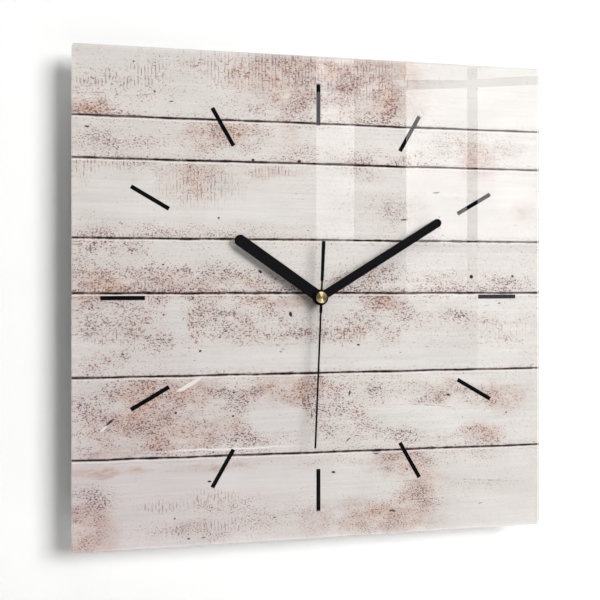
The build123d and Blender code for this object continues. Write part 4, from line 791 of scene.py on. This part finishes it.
FINISHES = {
    "glass_panel": toughened_glass(),
    "dial_print": printed_planks(),
    "hour_markers": ink("black_screen_ink", "#040405", "#08080a", 0.45, shine=0.0),
    "white_backing": ink("white_flood_ink", "#e4e4e1", "#d6d6d3", 0.5),
    "spacer_pillars": black_abs, "case_front": black_abs, "case_back": black_abs,
    "spacer_feet": rubber,
    "hanger": zinc, "hanger_screws": zinc,
    "middle_plate": acetal,
    "circuit_board": board_laminate(),
    "driver_chip": moulded("black_epoxy_blob", "#101012", "#16161a", 0.25, 0.8, 0.02, ior=1.55),
    "quartz_crystal": metal("nickel_silver_can", "#c8c6c0", "#b4b1a9", 0.25, 0.1, (1, 1, 6)),
    "stator": silicon_steel, "coil_core": silicon_steel,
    "coil_bobbin": nylon,
    "negative_contact": spring_strip, "positive_contact": spring_strip,
    "rotor_pinion": acetal, "step_wheel": acetal, "seconds_wheel": acetal,
    "third_wheel": acetal, "minute_wheel": acetal, "motion_wheel": acetal,
    "hour_wheel": black_abs, "minute_pipe": black_abs,
    "rotor_magnet": moulded("sintered_ferrite", "#2c2c2e", "#39393b", 0.55, 0.3, 0.03, ior=2.3),
    "seconds_arbor": polished,
    "second_hand": blackened_sheet("black_lacquered_hand", "#050507", "#08080b"),
    "second_hand_pipe": brass, "second_hand_cap": brass,
    "minute_hand": anodised, "hour_hand": anodised,
    "minute_hand_bush": metal("brass_bush", "#d9c07f", "#c4a765", 0.3),
    "hour_hand_bush": metal("brass_hour_bush", "#d9c07f", "#c4a765", 0.3),
    "setting_arbor": acetal,
    "setting_knob": moulded("grey_moulded_abs", "#3a3b3e", "#434448", 0.45),
    "battery_can": metal("nickel_plated_cell_can", "#c9cacc", "#b4b6b9", 0.22),
    "battery_seal": nylon,
    "battery_end_cap": metal("nickel_plated_end_cap", "#cfd0d1", "#babcbf", 0.28),
    "battery_sleeve": cell_wrap(),
}
for name, finish in FINISHES.items():
    node = nodes[name]
    node.data.materials.clear()
    node.data.materials.append(finish)
nodes["glass_panel"].visible_shadow = False
print("finished nodes:", len(FINISHES))

# %% [markdown]
# ## Foam
# The movement and the two wall spacers are bonded to the glass with closed-cell foam tape.
# A foam slab squeezed between two flat faces swells at its sides, so each one is built as
# a stack of outlines that stand out most at the middle of its thickness.

# %% Foam pads
LAYERS = 8
BULGE = 0.35 * MM
PAD_CORNER = 3.0 * MM
PAD_HOLE = 5.3 * MM
SIDE_NORMAL = 0.9        # a face whose normal leans to the wall less than this is a side


def rounded_loop(half, corner, steps=10):
    """Points round a square with round corners, each with the direction that faces out."""
    loop = []
    for quarter in range(4):
        for i in range(steps + 1):
            angle = math.pi / 2 * (quarter + i / steps)
            out = Vector((math.cos(angle), math.sin(angle)))
            turn = math.pi / 2 * quarter + math.pi / 4
            middle = Vector((math.copysign(half - corner, math.cos(turn)),
                             math.copysign(half - corner, math.sin(turn))))
            loop.append((middle + corner * out, out))
    return loop


def slab(name, pads, front, back):
    """One piece from several pads: each a centre, an outline and a hole or None."""
    points, faces = [], []
    for (centre_x, centre_z), outline, hole in pads:
        rings = []
        for loop, side in ((outline, 1), (hole, -1)):
            if loop is None:
                continue
            stack = []
            for layer in range(LAYERS + 1):
                share = layer / LAYERS
                swell = side * BULGE * math.sin(math.pi * share)
                depth = front + (back - front) * share
                ring = []
                for spot, out in loop:
                    at = spot + swell * out
                    ring.append(len(points))
                    points.append((centre_x + at.x, depth, centre_z + at.y))
                stack.append(ring)
            for lower, upper in zip(stack, stack[1:]):
                for i in range(len(lower)):
                    j = (i + 1) % len(lower)
                    face = (lower[i], lower[j], upper[j], upper[i])
                    faces.append(face if side > 0 else face[::-1])
            rings.append(stack)
        for end in (0, -1):
            outer = rings[0][end]
            if hole is None:
                faces.append(outer[::-1] if end == 0 else outer)
                continue
            inner = rings[1][end]
            for i in range(len(outer)):
                j = (i + 1) % len(outer)
                face = (outer[i], inner[i], inner[j], outer[j])
                faces.append(face if end == 0 else face[::-1])
    made = piece_from(name, points, faces)
    made.data.validate()
    for polygon in made.data.polygons:
        upright = abs(polygon.normal.y) < SIDE_NORMAL
        polygon.use_smooth = len(polygon.vertices) == 4 and upright
    return made


def closed_cell_foam():
    """White polyethylene foam: matt, soft-edged, with cells about a third of a millimetre."""
    material = blank("white_closed_cell_foam")
    tree = material.node_tree
    place = place_in_mm(tree)
    cells = add(tree, "TexVoronoi", {"Vector": place, "Scale": 3.0}, output="Distance")
    cloud = noise(tree, place, 5, detail=3)
    colour = tint(tree, cloud, linear("#e8e7e2"), linear("#dad8d1"))
    colour = tint(tree, step(tree, cells, 0.25, 0.6), colour, linear("#c2c0b8"))
    bump = add(tree, "Bump", {"Height": cells, "Strength": 0.8, "Distance": 0.08 * MM})
    return surface(material, Base_Color=colour, Roughness=0.9, IOR=1.5, Normal=bump)


foam = closed_cell_foam()
low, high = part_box("movement_pad")
half = (high.x - low.x) / 2 - BULGE
centre = ((low.x + high.x) / 2, (low.z + high.z) / 2)
movement_foam = slab("movement_foam_pad", [(centre, rounded_loop(half, PAD_CORNER),
                     rounded_loop(PAD_HOLE + BULGE, PAD_HOLE + BULGE))], low.y, high.y)
low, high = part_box("spacer_pads")
radius = (high.z - low.z) / 2
spots = [(low.x + radius, low.z + radius), (high.x - radius, low.z + radius)]
disc = rounded_loop(radius - BULGE, radius - BULGE)
spacer_foam = slab("spacer_foam_discs", [(spot, disc, None) for spot in spots], low.y, high.y)
for piece, node in ((movement_foam, "movement_pad"), (spacer_foam, "spacer_pads")):
    piece.data.materials.append(foam)
    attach(piece, "dial_and_case")
    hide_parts(node)
    print(piece.name, len(piece.data.polygons), "faces")

# %% [markdown]
# ## The motor's winding
# The coil is thousands of turns of enamelled wire thinner than a hair. Turns that fine
# would be lost, so they are drawn at 0.32 mm, as real ridges that run round the bobbin.

# %% Copper winding
WIRE_PITCH = 0.32 * MM
RIDGE_STEPS = 6
WINDING_CORNER = 1.0 * MM
BORE_HALF_DEPTH = 1.1 * MM
BORE_HALF_WIDTH = 2.1 * MM
BORE_CORNER = 0.05 * MM
RIDGE_SHARE = 0.6        # how deep the furrows are, as a share of half the pitch


def ring_round_x(x, half_y, half_z, corner, middle, steps=5):
    """Points of a rounded oblong that stands square to X."""
    ring = []
    for quarter in range(4):
        turn = math.pi / 2 * quarter + math.pi / 4
        for i in range(steps + 1):
            angle = math.pi / 2 * (quarter + i / steps)
            y = math.copysign(half_y - corner, math.cos(turn)) + corner * math.cos(angle)
            z = math.copysign(half_z - corner, math.sin(turn)) + corner * math.sin(angle)
            ring.append((x, middle.y + y, middle.z + z))
    return ring


def copper_winding():
    """The wound body of the coil, ridge by ridge, open along its bore."""
    low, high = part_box("coil_winding")
    middle = (low + high) / 2
    turns = round((high.x - low.x) / WIRE_PITCH)
    half_y, half_z = (high.y - low.y) / 2, (high.z - low.z) / 2
    rings = []
    for i in range(turns * RIDGE_STEPS + 1):
        dip = WIRE_PITCH / 2 * (1 - abs(math.sin(math.pi * i / RIDGE_STEPS))) * RIDGE_SHARE
        x = low.x + (high.x - low.x) * i / (turns * RIDGE_STEPS)
        rings.append(ring_round_x(x, half_y - dip, half_z - dip, WINDING_CORNER, middle))
    bore = [ring_round_x(x, BORE_HALF_DEPTH, BORE_HALF_WIDTH, BORE_CORNER, middle)
            for x in (high.x, low.x)]
    loops = rings + bore
    size = len(loops[0])
    points = [point for ring in loops for point in ring]
    faces = []
    for k in range(len(loops)):
        after = (k + 1) % len(loops)
        for i in range(size):
            j = (i + 1) % size
            faces.append((k * size + i, k * size + j, after * size + j, after * size + i))
    made = piece_from("copper_winding", points, faces)
    made.data.validate()
    print("winding:", turns, "turns drawn,", len(faces), "faces")
    return made


winding = copper_winding()
winding.data.materials.append(metal("enamelled_copper_wire", "#b5562c", "#8f3d1d", 0.28,
                                    Coat_Weight=0.6))
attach(winding, "dial_and_case")
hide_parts("coil_winding")
